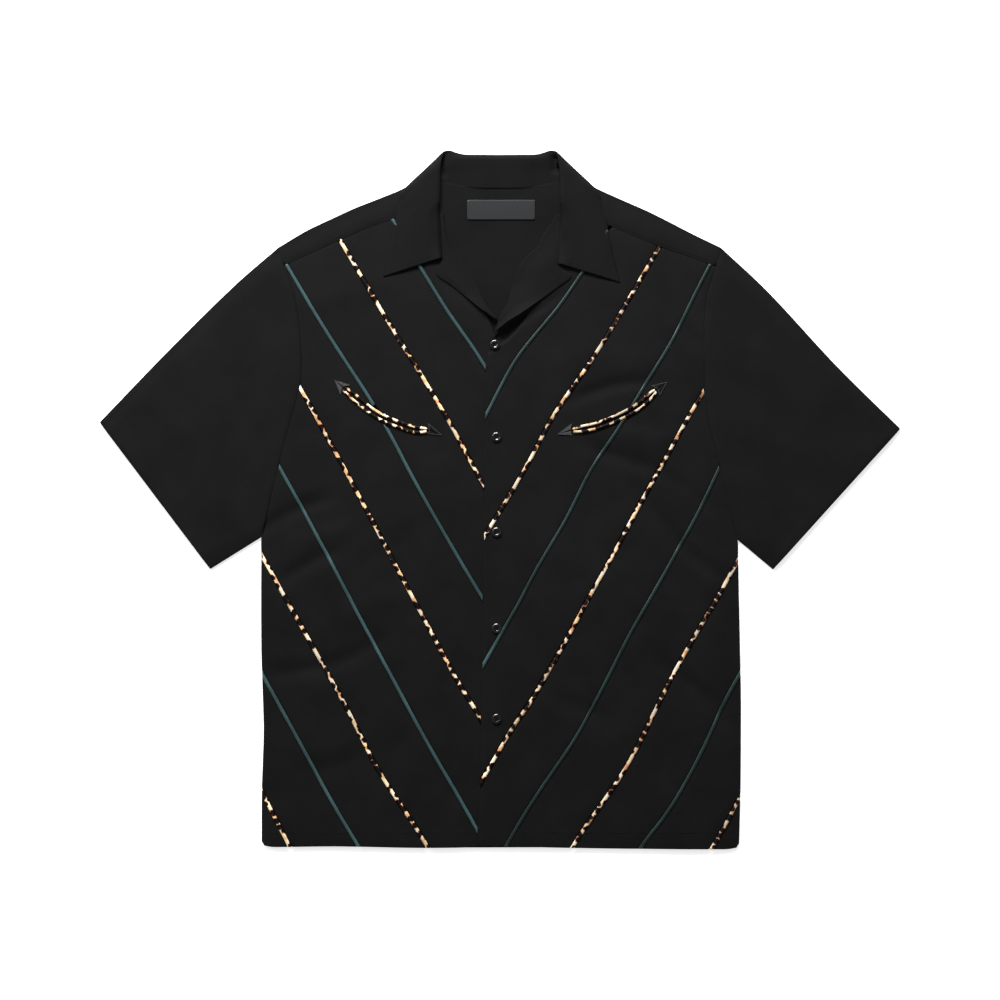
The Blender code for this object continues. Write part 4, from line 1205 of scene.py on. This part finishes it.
def sleeve_section(side, plan, w, from_seam):
    """Points on the middle of the wall all round, and the way out at each."""
    low, high = plan(np.array([0.0, 1.0]), w)
    width = np.linalg.norm(high - low)
    across = (high - low) / width
    rim = FOLD + WALL / 2
    steps = np.linspace(rim / width, 1 - rim / width, ACROSS_WALL)
    spots = plan(steps, w)
    edge = np.minimum(steps - steps[0], steps[-1] - steps) * width
    rise = upper_rise(side, spots, edge, w, from_seam)
    up = np.tile([0, 0, 1.0], (ACROSS_WALL, 1))
    under = np.column_stack([spots, np.full(ACROSS_WALL, WALL / 2)])
    over = np.column_stack([spots, WALL / 2 + 2 * FOLD + rise])[::-1]
    folds = []
    for centre, turns in zip((high - across * rim, low + across * rim), FOLD_TURNS):
        angles = np.radians(turns)
        way = np.column_stack([np.outer(np.cos(angles), across), np.sin(angles)])
        folds.append((np.array([*centre, WALL / 2 + FOLD]) + way * FOLD, way))
    points, ways = zip((under, -up), folds[0], (over, up), folds[1])
    return np.concatenate(points), np.concatenate(ways)


print("points round a sleeve:", 2 * ACROSS_WALL + 2 * len(FOLD_TURNS[0]))

# %% The tubes
def sleeve_tube(side):
    """The sections of a sleeve, swept from the armhole to the cuff."""
    plan, length = sleeve_plan(side)
    inner_stations = np.linspace(0, length, math.ceil(length / 4.2) + 1)[1:-1]
    outer, inner = [], []
    for distance in with_rims(inner_stations, length):
        points, ways = sleeve_section(side, plan, distance / length, distance)
        end = min(distance, length - distance)
        half = WALL / 2 * (0.25 + 0.75 * min(1, end / 0.4) ** 0.5)
        outer.append(points + ways * half)
        inner.append(points - ways * half)
    outer, inner = np.array(outer), np.array(inner)
    made = shell(f"sleeve_{side}_cloth", outer, inner, twill_sleeve[side], tube=True)
    measured(made, outer)
    return made


for side in SIDES:
    sleeve = sleeve_tube(side)
    wear(sleeve, "cloth", f"sleeve_{side}")
    declare_cloth(sleeve["cloth_flat"])
print("sleeve, flat:", [round(v, 3) for v in sleeve["cloth_flat"]])

# %% [markdown]
# ## The cords
#
# Each joint holds a piping: a thin cord wrapped in a bias-cut ribbon, whose
# edges are caught in the seam. It is a tube with an oval section, swept along
# the joint, then cut off at the planes where the CAD cord ends, so it stops
# exactly at the yoke, the sleeve, the hem or the front edge.

# %% Routes of the joints
JOINTS = {
    "left": [
        ("teal", [(-118.6, 306), (-108, 291), (-96, 273.5), (-18, 147)]), ("leopard", [(-173, 281), (-18, 17)]),
        ("teal", [(-231, 255), (-18, -107)]), ("leopard", [(-216, 120), (-19, -239)]),
        ("teal", [(-238, 37), (-26, -353)]), ("leopard", [(-258, -58), (-77, -375)]),
        ("teal", [(-258, -185), (-151, -375)]), ("leopard", [(-258, -312), (-226, -375)]),
    ],
    "right": [
        ("teal", [(119, 295), (20, 156), (-16, 90)]), ("leopard", [(172, 273), (-15, -37)]),
        ("teal", [(227, 255), (181, 169), (-15, -172)]), ("leopard", [(220, 120), (-19, -301)]),
        ("teal", [(237, 39), (5, -375)]), ("leopard", [(257, -64), (77, -375)]),
        ("teal", [(258, -188), (149, -375)]), ("leopard", [(259, -320), (227, -375)]),
    ],
}
CORD_SIZE = {"teal": (3.7, 2.4), "leopard": (3.9, 2.7)}     # mm, width and height
RUN_ON = 30           # mm that a route is drawn past both ends before it is cut


def joint_route(route):
    """The joint's centre line, run on past both ends."""
    line = flowing(route, 2.5)
    first, last = line[0] - line[1], line[-1] - line[-2]
    ahead = np.linspace(RUN_ON, 2.5, 12)[:, None]
    before = line[0] + first / np.linalg.norm(first) * ahead
    after = line[-1] + last / np.linalg.norm(last) * ahead[::-1]
    return np.concatenate([before, line, after])


print("joints:", sum(len(JOINTS[side]) for side in SIDES))

# %% [markdown]
# Teal satin is smooth and shines a little. The cloth is fine, so both finishes
# get only a hint of threads. On this shirt the cords look lighter on the left,
# where more light falls, and that is painted into their colour as painted light.
# They are also darker at random in patches of some centimetres. The leopard
# print is black spots round scattered points, with a brown rim, on a cream that
# turns golden here and there; its cream gets the same painted light.

# %% Helpers for both finishes
def noise_at(finish, place, period, detail=2.0):
    """Noise that changes over a period in mm."""
    inputs = {"Vector": place, "Scale": 1 / (period * MM), "Detail": detail}
    return add_node(finish, "ShaderNodeTexNoise", inputs)


def mixed(finish, first, second, factor, way="MIX"):
    inputs = {0: factor, 6: first, 7: second}
    return add_node(finish, "ShaderNodeMix", inputs, data_type="RGBA", blend_type=way).outputs[2]


def painted_light_and_patches(finish, place, left, right):
    """A colour for each half of the shirt, lighter on the left as painted light, and darker at random in
    patches of some centimetres.
    """
    where = add_node(finish, "ShaderNodeSeparateXYZ", {0: place}).outputs["X"]
    inputs = {0: where, 1: 12.0, 2: 0.5}
    half = add_node(finish, "ShaderNodeMath", inputs, operation="MULTIPLY_ADD").outputs[0]
    # painted light: left of the middle the lighter colour, right of it the darker one
    colour = ramp(finish, half, [(0.30, left), (0.62, right)])
    noise = noise_at(finish, place, 50).outputs["Fac"]
    patch = ramp(finish, noise, [(0.36, (0.60,) * 3), (0.62, (1.0,) * 3)])
    return mixed(finish, colour, patch, 1.0, "MULTIPLY")


def vector_math(finish, operation, inputs):
    return add_node(finish, "ShaderNodeVectorMath", inputs, operation=operation).outputs[0]


print("helpers for the cords' finishes ready")

# %% Teal satin and leopard print
# Lit and shaded copies of one colour: the left ones are painted lighter, as painted light on the better lit
# left side.
TEAL_LIT_LEFT, TEAL_SHADED_RIGHT = (0.036, 0.076, 0.079), (0.0092, 0.0236, 0.0228)
CREAM_LIT_LEFT, CREAM_SHADED_RIGHT = (1.0, 0.88, 0.68), (0.74, 0.64, 0.50)
BLACK, BROWN = (0.003, 0.002, 0.002), (0.20, 0.055, 0.025)
SPOT_SPACING = 8.2    # mm
GOLDEN = [(0.40, (1, 1, 1)), (0.51, (1.0, 0.93, 0.78)), (0.59, (0.95, 0.74, 0.48)), (0.66, (0.82, 0.46, 0.28))]


def teal_satin_finish():
    made = new_finish("teal_satin", {"Roughness": 0.38, "Specular IOR Level": 0.35})
    place = add_node(made, "ShaderNodeTexCoord").outputs["Object"]
    connect(made, painted_light_and_patches(made, place, TEAL_LIT_LEFT, TEAL_SHADED_RIGHT), "Base Color")
    add_bump(made, noise_at(made, place, 0.7).outputs["Fac"], 0.3, 0.1 * MM)
    return made


def leopard_finish():
    made = new_finish("leopard_print", {"Roughness": 0.55, "Specular IOR Level": 0.12})
    place = add_node(made, "ShaderNodeTexCoord").outputs["Object"]
    drift = noise_at(made, place, 5.0).outputs["Color"]
    drift = vector_math(made, "SUBTRACT", {0: drift, 1: (0.5, 0.5, 0.5)})
    drift = vector_math(made, "SCALE", {0: drift, "Scale": 4.5 * MM})
    inputs = {"Vector": vector_math(made, "ADD", {0: place, 1: drift}), "Scale": 1 / (SPOT_SPACING * MM),
              "Randomness": 1.0}
    scattered = add_node(made, "ShaderNodeTexVoronoi", inputs, voronoi_dimensions="2D").outputs["Distance"]
    spot = ramp(made, scattered, [(0.00, BLACK), (0.36, BLACK), (0.40, BROWN), (1.00, BROWN)])
    ground = ramp(made, scattered, [(0.42, (0, 0, 0)), (0.48, (1, 1, 1))])
    golden = ramp(made, noise_at(made, place, 11, 1.0).outputs["Fac"], GOLDEN)
    cream = mixed(made, painted_light_and_patches(made, place, CREAM_LIT_LEFT, CREAM_SHADED_RIGHT), golden, 1.0, "MULTIPLY")
    connect(made, mixed(made, spot, cream, ground), "Base Color")
    add_bump(made, noise_at(made, place, 0.6).outputs["Fac"], 0.3, 0.1 * MM)
    return made


teal_satin, leopard_print = teal_satin_finish(), leopard_finish()
FINISH = {"teal": teal_satin, "leopard": leopard_print}
print("cord finishes:", list(FINISH))

# %% [markdown]
# A tube is a row of rings with a face between each two neighbours and a cap at
# both ends. Buttons and stitches are made the same way, so one helper lofts all
# of them. A cord's rings wobble a little, since a ribbon never wraps evenly.

# %% A cord
CORD_SIDES = 14
RIPPLE = 0.06         # mm


def loft(bm, rings):
    """Faces through rings of points in mm, with a cap at both ends."""
    made = [[bm.verts.new(point * MM) for point in ring] for ring in rings]
    for a, b in zip(made, made[1:]):
        for k in range(len(a)):
            n = (k + 1) % len(a)
            bm.faces.new((a[k], a[n], b[n], b[k]))
    bm.faces.new(made[0][::-1])
    bm.faces.new(made[-1])


def cord_rings(path, size, seed):
    """Oval rings of points round a path in mm."""
    angles = 2 * np.pi * np.arange(CORD_SIDES) / CORD_SIDES
    wide, high = np.cos(angles) * size[0] / 2, np.sin(angles) * size[1] / 2
    rings = []
    for i, point in enumerate(path):
        ahead = path[min(i + 1, len(path) - 1)] - path[max(i - 1, 0)]
        across = np.array([-ahead[1], ahead[0], 0]) / np.hypot(ahead[0], ahead[1])
        rings.append(point + np.outer(wide, across) + np.outer(high, (0, 0, 1)))
    rings = np.array(rings)
    wobble = np.random.default_rng(seed).normal(0, RIPPLE, rings.shape[:2])
    return rings + (rings - np.array(path)[:, None]) * (wobble / size[0] * 2)[:, :, None]


def cord_tube(name, path, size, finish, seed, cuts=()):
    """An oval tube round a path in mm, cut off at planes."""
    bm = bmesh.new()
    loft(bm, cord_rings(path, size, seed))
    for point, outward in cuts:
        whole = bm.verts[:] + bm.edges[:] + bm.faces[:]
        cut = bmesh.ops.bisect_plane(bm, geom=whole, dist=1e-7, plane_co=point * MM, plane_no=outward,
                                     clear_outer=True)
        edges = [e for e in cut["geom_cut"] if isinstance(e, bmesh.types.BMEdge)]
        if edges:
            bmesh.ops.contextual_create(bm, geom=edges)
    return mesh_from(bm, name, finish)


print("points round a cord:", CORD_SIDES)

# %% [markdown]
# Each route is cut at the two end faces of its CAD cord and laid on the front, a
# little sunk, since a piping sits between two layers of cloth.

# %% Lay the cords
HIDDEN_END = {"teal_left_1": 1.6, "teal_right_1": 6.0}     # mm that a cord stops short, under the collar
SPARE = 8             # mm of route kept past each cut
SUNK = 0.2            # mm that a cord sits below the cloth's underside


def cord_ends(node, down):
    """The two planes that cut off a CAD cord: a point and the way out of each."""
    bm = bmesh.new()
    bm.from_mesh(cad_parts[node].data)
    ends = []
    for sign in (-1, 1):
        caps = [f for f in bm.faces if f.normal.dot(down) * sign > 0.3 and abs(f.normal.z) < 0.05]
        area = sum(f.calc_area() for f in caps)
        point = sum((f.calc_center_median() * f.calc_area() for f in caps), Vector()) / area
        ends.append((point / MM, caps[0].normal.copy()))
    bm.free()
    return ends


def lay_joint_cord(side, number, kind, route, suffix=""):
    """Lay one cord in its joint, from cut to cut."""
    node = f"{kind}_{side}_{number}{suffix}"
    line = settled(side, joint_route(route))
    down = Vector((*(line[-1] - line[0]), 0)).normalized()
    cuts = cord_ends(node, down)
    point, outward = cuts[0]
    cuts[0] = (point - outward * HIDDEN_END.get(node, 0), outward)
    first, last = [point.xy.dot(down.xy) for point, outward in cuts]
    at = line @ np.array(down.xy)
    line = line[(at > first - SPARE) & (at < last + SPARE)]
    height = top_of[side](line[:, 0], line[:, 1]) - CLOTH - SUNK + CORD_SIZE[kind][1] / 2
    path = np.column_stack([line, height])
    cord = cord_tube(f"{node}_cord", path, CORD_SIZE[kind], FINISH[kind], number, cuts)
    wear(cord, kind, node)


for side in SIDES:
    for number, (kind, route) in enumerate(JOINTS[side], start=1):
        for suffix in ("_upper", "_lower") if number == 3 else ("",):
            lay_joint_cord(side, number, kind, route, suffix)
print("cords laid")

# %% [markdown]
# ## Pockets
#
# A smile pocket is a curved slit. Its two lips are piped with the leopard
# cloth, and an arrowhead in satin stitch keeps each end from tearing.

# %% Welts
WELT = {
    "left": [(-168, 120), (-133, 92.5), (-96, 77), (-79, 75)],
    "right": [(79, 75), (107, 81), (145, 98.5), (167.5, 117.5)],
}
WELT_SIZE = (2.7, 2.1)
WELT_SPREAD = 5.8     # mm between the two lips in the middle
PINCH = (0.35, 3.2, 0.12)     # how far the lips come together at the ends


def welt_path(side, way):
    """The line of one lip, which meets the other at both ends."""
    line = flowing(WELT[side], 1.5)
    run = np.gradient(line, axis=0)
    across = np.column_stack([-run[:, 1], run[:, 0]]) / np.linalg.norm(run, axis=1)[:, None]
    arc = np.sin(math.pi * np.linspace(0, 1, len(line)))
    spread = WELT_SPREAD / 2 * np.minimum(1, PINCH[0] + PINCH[1] * np.sqrt(arc * PINCH[2]))
    line = line + across * (way * spread)[:, None]
    return np.column_stack([line, top_of[side](line[:, 0], line[:, 1]) + CLEAR + WELT_SIZE[1] / 2])


for side in SIDES:
    for label, way in (("upper", 1), ("lower", -1)):
        node = f"welt_{side}_{label}"
        welt = cord_tube(f"{node}_cord", welt_path(side, way), WELT_SIZE, leopard_print, seed=7)
        wear(welt, "leopard", node)
print("welts:", 4)

# %% [markdown]
# A stitch is a short rod with rounded ends. Six sides are enough, since it is
# half a millimetre thick. Threads and resin are single colours, so one helper
# makes all those finishes.

# %% A stitch, and plain finishes
STITCH_SIDES = 6
# share along, share of the radius
STITCH_RINGS = ((0, 0.35), (0.12, 0.85), (0.5, 1), (0.88, 0.85), (1, 0.35))


def plain_finish(name, colour, roughness, specular):
    values = {"Base Color": (*colour, 1), "Roughness": roughness, "Specular IOR Level": specular}
    return new_finish(name, values)


def capsule(bm, start, end, radius):
    """A stitch: a short rounded rod between two points in mm."""
    start, end = Vector(start), Vector(end)
    axis = (end - start).normalized()
    side_way = axis.cross(Vector((0, 0, 1))).normalized()
    up = side_way.cross(axis)
    turns = [2 * math.pi * k / STITCH_SIDES for k in range(STITCH_SIDES)]
    loft(bm, [[start.lerp(end, at) + (side_way * math.cos(turn) + up * math.sin(turn)) * radius * share
               for turn in turns] for at, share in STITCH_RINGS])


grey_thread = plain_finish("grey_thread", (0.050, 0.050, 0.053), 0.45, 0.2)
dark_thread = plain_finish("dark_thread", (0.004, 0.005, 0.005), 0.5, 0.1)
print("rings of a stitch:", len(STITCH_RINGS))

# %% [markdown]
# An arrowhead is worked by hand: satin stitches run out from a middle line to
# two wings, and a twisted thread outlines them. Two of the four are filled in
# grey, the others in black.

# %% Arrowheads
# tip, first barb, notch, second barb
ARROWS = {
    "arrow_left_outer": [(-178, 129), (-162, 124), (-170, 122), (-172, 114)],
    "arrow_left_inner": [(-63, 70), (-77, 82), (-76, 75), (-77, 71.5)],
    "arrow_right_inner": [(62.5, 71), (77, 82), (76, 75), (77, 70)],
    "arrow_right_outer": [(180, 127), (163.5, 123), (170, 120), (172, 113)],
}
FILLED = ("arrow_left_outer", "arrow_right_inner")
FILL_STEP, TWIST_STEP = 0.42, 1.1     # mm from one stitch to the next
FILL_RADIUS, OUTLINE_RADIUS = 0.27, 0.30
WING_GAP = 0.7        # mm from the middle line to each wing


def arrowhead(node, side):
    """The fill and the outline of one arrowhead."""
    tip, barb_1, notch, barb_2 = [np.array(p, float) for p in ARROWS[node]]
    fill, outline = bmesh.new(), bmesh.new()

    def lift(spot, rise):
        return (*spot, float(top_of[side](*spot)) + CLEAR + rise)

    for barb, far in ((barb_1, barb_2), (barb_2, barb_1)):
        apart = (barb - far) / np.linalg.norm(barb - far) * WING_GAP
        for t in np.arange(0.08, 1, FILL_STEP / np.linalg.norm(barb - tip)):
            inner, outer = tip + apart * t + (notch - tip) * t, tip + (barb - tip) * t
            capsule(fill, lift(inner, 0.30), lift(outer, 0.22), FILL_RADIUS)
        for a, b in ((tip, barb), (barb, notch + apart)):
            count = round(np.linalg.norm(b - a) / TWIST_STEP)
            for k in range(count):
                start, end = a + (b - a) * k / count, a + (b - a) * (k + 1.25) / count
                capsule(outline, lift(start, 0.52), lift(end, 0.42), OUTLINE_RADIUS)
    return fill, outline


for node in ARROWS:
    side = "left" if "left" in node else "right"
    fill, outline = arrowhead(node, side)
    thread = grey_thread if node in FILLED else dark_thread
    wear(mesh_from(fill, f"{node}_satin_stitch", thread), "arrow", node)
    wear(mesh_from(outline, f"{node}_outline", grey_thread), "arrow", node)
print("arrowheads:", len(ARROWS))

# %% [markdown]
# ## Buttons
#
# Five small shirt buttons, turned from black resin: a raised rim, a dished
# middle and four holes with thread through them.

# %% A button
BUTTONS = [(-5.6, 167.6), (-3.8, 68), (-3.8, -34.5), (-3.8, -138), (-3.8, -235.5)]
BUTTON_RADIUS, BUTTON_HEIGHT = 5.25, 2.4
BUTTON_SIDES = 48
PROFILE = [      # share of the radius, share of the height
    (0.001, 0), (0.70, 0), (0.84, 0.05), (0.95, 0.22), (1, 0.42), (1, 0.56), (0.98, 0.66), (0.94, 0.73),
    (0.84, 0.85), (0.74, 0.965), (0.70, 0.99), (0.66, 0.99), (0.61, 0.95), (0.52, 0.84), (0.44, 0.74),
    (0.36, 0.70), (0.001, 0.69),
]
black_resin = plain_finish("black_resin", (0.004, 0.004, 0.0045), 0.12, 0.5)


def turned_button(name, x, y, rest):
    """The profile, turned about the button's axis."""
    turns = [2 * math.pi * k / BUTTON_SIDES for k in range(BUTTON_SIDES)]
    bm = bmesh.new()
    loft(bm, [[Vector((x + BUTTON_RADIUS * radius * math.cos(turn), y + BUTTON_RADIUS * radius * math.sin(turn),
                       rest + BUTTON_HEIGHT * height)) for turn in turns] for radius, height in PROFILE])
    return mesh_from(bm, name, black_resin)


print("height of a button:", BUTTON_HEIGHT, "mm")

# %% [markdown]
# The holes are drilled with a Boolean, as a drill does it, and two bars of
# thread cross the button from hole to hole.

# %% Holes
HOLE_RADIUS, HOLE_SPREAD = 0.75, 1.45


def drill(button, x, y, rest):
    """Four holes straight through the button, by a Boolean difference."""
    bm = bmesh.new()
    for dx in (-HOLE_SPREAD, HOLE_SPREAD):
        for dy in (-HOLE_SPREAD, HOLE_SPREAD):
            place = Matrix.Translation(Vector((x + dx, y + dy, rest + BUTTON_HEIGHT / 2)) * MM)
            bmesh.ops.create_cone(bm, cap_ends=True, segments=20, radius1=HOLE_RADIUS * MM,
                                  radius2=HOLE_RADIUS * MM, depth=2 * BUTTON_HEIGHT * MM, matrix=place)
    bits = mesh_from(bm, "drill_bits", black_resin)
    cut = button.modifiers.new("holes", "BOOLEAN")
    cut.object, cut.operation, cut.solver = bits, "DIFFERENCE", "EXACT"
    drilled = button.evaluated_get(bpy.context.evaluated_depsgraph_get())
    button.data = bpy.data.meshes.new_from_object(drilled)
    button.modifiers.clear()
    bpy.data.objects.remove(bits)
    button.data.set_sharp_from_angle(angle=math.radians(40))


print("holes:", 4)

# %% Thread, and the five buttons
SEWING_RADIUS, SEWING_SIDE = 0.2, 0.2     # mm: the thread, and how far each turn lies to the side
BRIDGE = BUTTON_HEIGHT * 0.69 + 0.22      # height of the thread above the button's rest
black_thread = plain_finish("black_thread", (0.005, 0.005, 0.005), 0.7, 0.1)


def sewn_on(name, x, y, rest):
    """Two bars of thread that cross the button from hole to hole."""
    bm = bmesh.new()
    bottom, bridge = rest + 0.2, rest + BRIDGE
    left, right = x - HOLE_SPREAD, x + HOLE_SPREAD
    for dy in (-HOLE_SPREAD, HOLE_SPREAD):
        for beside in (-SEWING_SIDE, SEWING_SIDE):
            at = y + dy + beside
            capsule(bm, (left, at, bottom), (left + 0.3, at, bridge), SEWING_RADIUS)
            capsule(bm, (left + 0.1, at, bridge), (right - 0.1, at, bridge), SEWING_RADIUS)
            capsule(bm, (right - 0.3, at, bridge), (right, at, bottom), SEWING_RADIUS)
    return mesh_from(bm, name, black_thread)


for number, (x, y) in enumerate(BUTTONS, start=1):
    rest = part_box(f"button_{number}")[0][2] / MM
    button = turned_button(f"button_{number}_turned", x, y, rest)
    drill(button, x, y, rest)
    wear(button, "button", f"button_{number}")
    wear(sewn_on(f"button_{number}_thread", x, y, rest), "button")
print("buttons:", len(BUTTONS))

# %% [markdown]
# ## The neck label
#
# A woven satin label lies on the back yoke. It is bare here, with two rows of
# stitches at its ends.

# %% Neck label
LABEL_MIDDLE, LABEL_SIZE = (1.2, 313), (73, 21)
LABEL_RISE = 1.1      # mm, its upper side above the yoke's
label_satin = plain_finish("label_satin", (0.020, 0.021, 0.0225), 0.42, 0.3)
half_w, half_h = LABEL_SIZE[0] / 2, LABEL_SIZE[1] / 2
corners = [(-half_w, -half_h), (half_w, -half_h), (half_w, half_h), (-half_w, half_h)]
corners = np.array(corners) + LABEL_MIDDLE
outline = np.concatenate([flowing([a, b], 2.0)[:-1] for a, b in zip(corners, np.roll(corners, -1, axis=0))])


def label_top(x, y):
    return yoke_top(x, y) + LABEL_RISE


label = cloth_sheet("label_woven", outline, label_top, label_satin, step=2.5, thickness=0.6, dip=0.0)
wear(label, "label", "label")
declare_cloth(cut_size(outline))
print("label:", LABEL_SIZE, "mm")

# %% [markdown]
# ## Topstitching
#
# Seams and folded edges are held flat by rows of stitches in black thread.
# Each stitch is a short rounded rod, half sunk in the cloth.

# %% Rows of stitches
STITCH, STITCH_GAP = 2.4, 0.8     # mm
topstitch = plain_finish("topstitch_thread", (0.0045, 0.0045, 0.0048), 0.7, 0.10)


def stitch_row(name, path, slot="cloth", finish=topstitch, radius=0.18):
    """Stitches along a path in mm that lies on the cloth."""
    along, length = smooth_path(path)
    starts = np.arange(0.6, length - STITCH, STITCH + STITCH_GAP)
    bm = bmesh.new()
    for head, tail in zip(along(starts), along(starts + STITCH)):
        capsule(bm, head, tail, radius)
    wear(mesh_from(bm, name, finish), slot)
    return len(starts)


def on_front(side, points, rise=0.04):
    """Points in plan, lifted on to a front."""
    points = np.asarray(points, float)
    return np.column_stack([points, top_of[side](points[:, 0], points[:, 1]) + rise])


print("a stitch:", STITCH, "mm, and a gap:", STITCH_GAP, "mm")

# %% [markdown]
# Rows run along the lower edge of each yoke, along the hem and beside the front
# edge.

# %% Stitches on the fronts
YOKE_INSET = 2.6      # mm from the edge of the yoke to its stitches
HEM_ROW = HEM_LINE - 2
FRONT_ROW = -13       # x of the stitches beside the front edge
stitches = 0
for side in SIDES:
    outline = cut_piece(f"yoke_front_{side}")
    outward = outward_of(outline)
    seam = (outline - outward * YOKE_INSET)[outward[:, 1] < -0.5]
    seam = seam[np.argsort(seam[:, 0])][2:-2]
    stitches += stitch_row(f"yoke_stitches_{side}", on_front(side, seam, 0.42))
    way = -1 if side == "left" else 1
    hem = flowing([(way * x, HEM_ROW) for x in (254, 140, 22)], 6)
    stitches += stitch_row(f"hem_stitches_{side}", on_front(side, hem, 0.28))
front_edge = flowing([(FRONT_ROW, y) for y in (148, 60, -60, -200, -350)], 6)
stitches += stitch_row("front_edge_stitches", on_front("right", front_edge))
print("stitches on the fronts:", stitches)

# %% [markdown]
# The same rows run round the collar and the lapels, on the cuffs, and at the
# ends of the label. Their lines are taken from the sheets that they hold.

# %% Stitches on collar, lapels and cuffs
CUFF_INSET = 20       # mm from the cuff to its stitches
UPPER_WALL = slice(63, 115)     # the points of a section that lie on its upper wall
push = grid_normals(collar_grid) * (LEAF / 2 + 0.05)
push *= np.sign(push[len(push) // 8, -6, 2])
collar_face = collar_grid + push
edge_line = collar_face[:, -5]
shown = edge_line[:, 2] > 5
for side, way, front_row in (("left", -1, 5), ("right", 1, -6)):
    stitch_row(f"collar_edge_stitches_{side}", edge_line[shown & (edge_line[:, 0] * way > 0)][4:-4])
    stitch_row(f"collar_front_stitches_{side}", collar_face[front_row, FALL_COLUMN - 2:-4])
    stitch_row(f"lapel_stitches_{side}", lapel_line[side])
    plan, long = sleeve_plan(side)
    points, _ = sleeve_section(side, plan, 1 - CUFF_INSET / long, long)
    stitch_row(f"cuff_stitches_{side}", points[UPPER_WALL] + (0, 0, WALL / 2 + 0.05))
print("rows on collar, lapels and cuffs:", 8)

# %% Stitches on the label
END_INSET, ROW_REACH = 1.6, 9.5     # mm
for name, way in (("left", -1), ("right", 1)):
    end = LABEL_MIDDLE[0] + way * (LABEL_SIZE[0] / 2 - END_INSET)
    ends = flowing([(end, LABEL_MIDDLE[1] + reach) for reach in (-ROW_REACH, ROW_REACH)], 3)
    surface = yoke_top(ends[:, 0], ends[:, 1]) + LABEL_RISE + 0.05
    stitch_row(f"label_stitches_{name}", np.column_stack([ends, surface]), "label", label_satin, 0.2)
print("rows on the label:", 2)

# %% [markdown]
# ## Floor, light and camera
#
# The shirt lies on a white surface that is lit evenly, as in a picture for a
# shop, so the floor glows a little. One wide soft light stands beyond the neck:
# it draws the folds and leaves soft shadows below the lapels. A small one adds
# the glint on the buttons.

# %% Floor and lights
FLOOR_SIZE, FLOOR_DROP = 6, 0.2 * MM
LIGHTS = {            # place, size, power
    "key": ((-0.42, 2.12, 1.43), (1.9, 0.62), 142),
    "accent": ((-1.35, 0.8, 1.25), (0.13, 0.6), 6.0),
}


def add_area(name, place, size, power):
    """An area light that looks at the middle of the shirt and isn't seen itself."""
    light = bpy.data.lights.new(name, "AREA")
    light.shape, light.energy = "RECTANGLE", power
    light.size, light.size_y = size
    made = linked(name, light)
    made.location = place
    made.rotation_euler = (-Vector(place)).to_track_quat("-Z", "Y").to_euler()
    made.visible_camera = False


floor_finish = new_finish("white_table", {"Base Color": (0.93, 0.93, 0.93, 1), "Roughness": 0.6,
                                             "Emission Color": (1, 1, 1, 1), "Emission Strength": 0.62})
bpy.ops.mesh.primitive_plane_add(size=FLOOR_SIZE, location=(0, 0, -FLOOR_DROP))
floor = bpy.context.object
floor.name = "floor"
floor.data.materials.append(floor_finish)
for name, (place, size, power) in LIGHTS.items():
    add_area(name, place, size, power)
print("lights:", len(LIGHTS))

# %% [markdown]
# Light also comes from all round. The world is lighter near the horizon and
# darker overhead, so the rims of the cords catch more of it than their tops.

# %% World and view
DOME = [(0.15, (0.56,) * 3), (1.0, (0.12,) * 3)]     # height from horizon to zenith, and grey
world = bpy.data.worlds.new("studio")
world.use_nodes = True
way = add_node(world, "ShaderNodeTexCoord").outputs["Generated"]
sky = ramp(world, add_node(world, "ShaderNodeSeparateXYZ", {0: way}).outputs["Z"], DOME)
world.node_tree.links.new(sky, world.node_tree.nodes["Background"].inputs["Color"])
bpy.context.scene.world = world
bpy.context.scene.view_settings.view_transform = "Standard"
print("world:", world.name)

# %% [markdown]
# The camera looks straight down, from far enough that the shirt isn't distorted.

# %% Camera
FRAME_WIDTH = 1.08    # metres that the picture shows
LENS, SENSOR = 70.0, 36.0
camera = bpy.data.cameras.new("camera")
camera.lens, camera.sensor_width = LENS, SENSOR
camera_object = linked("camera", camera)
camera_object.location = (0, 0, FRAME_WIDTH * LENS / SENSOR)
bpy.context.scene.camera = camera_object
print("camera height:", round(camera_object.location.z, 2), "m")
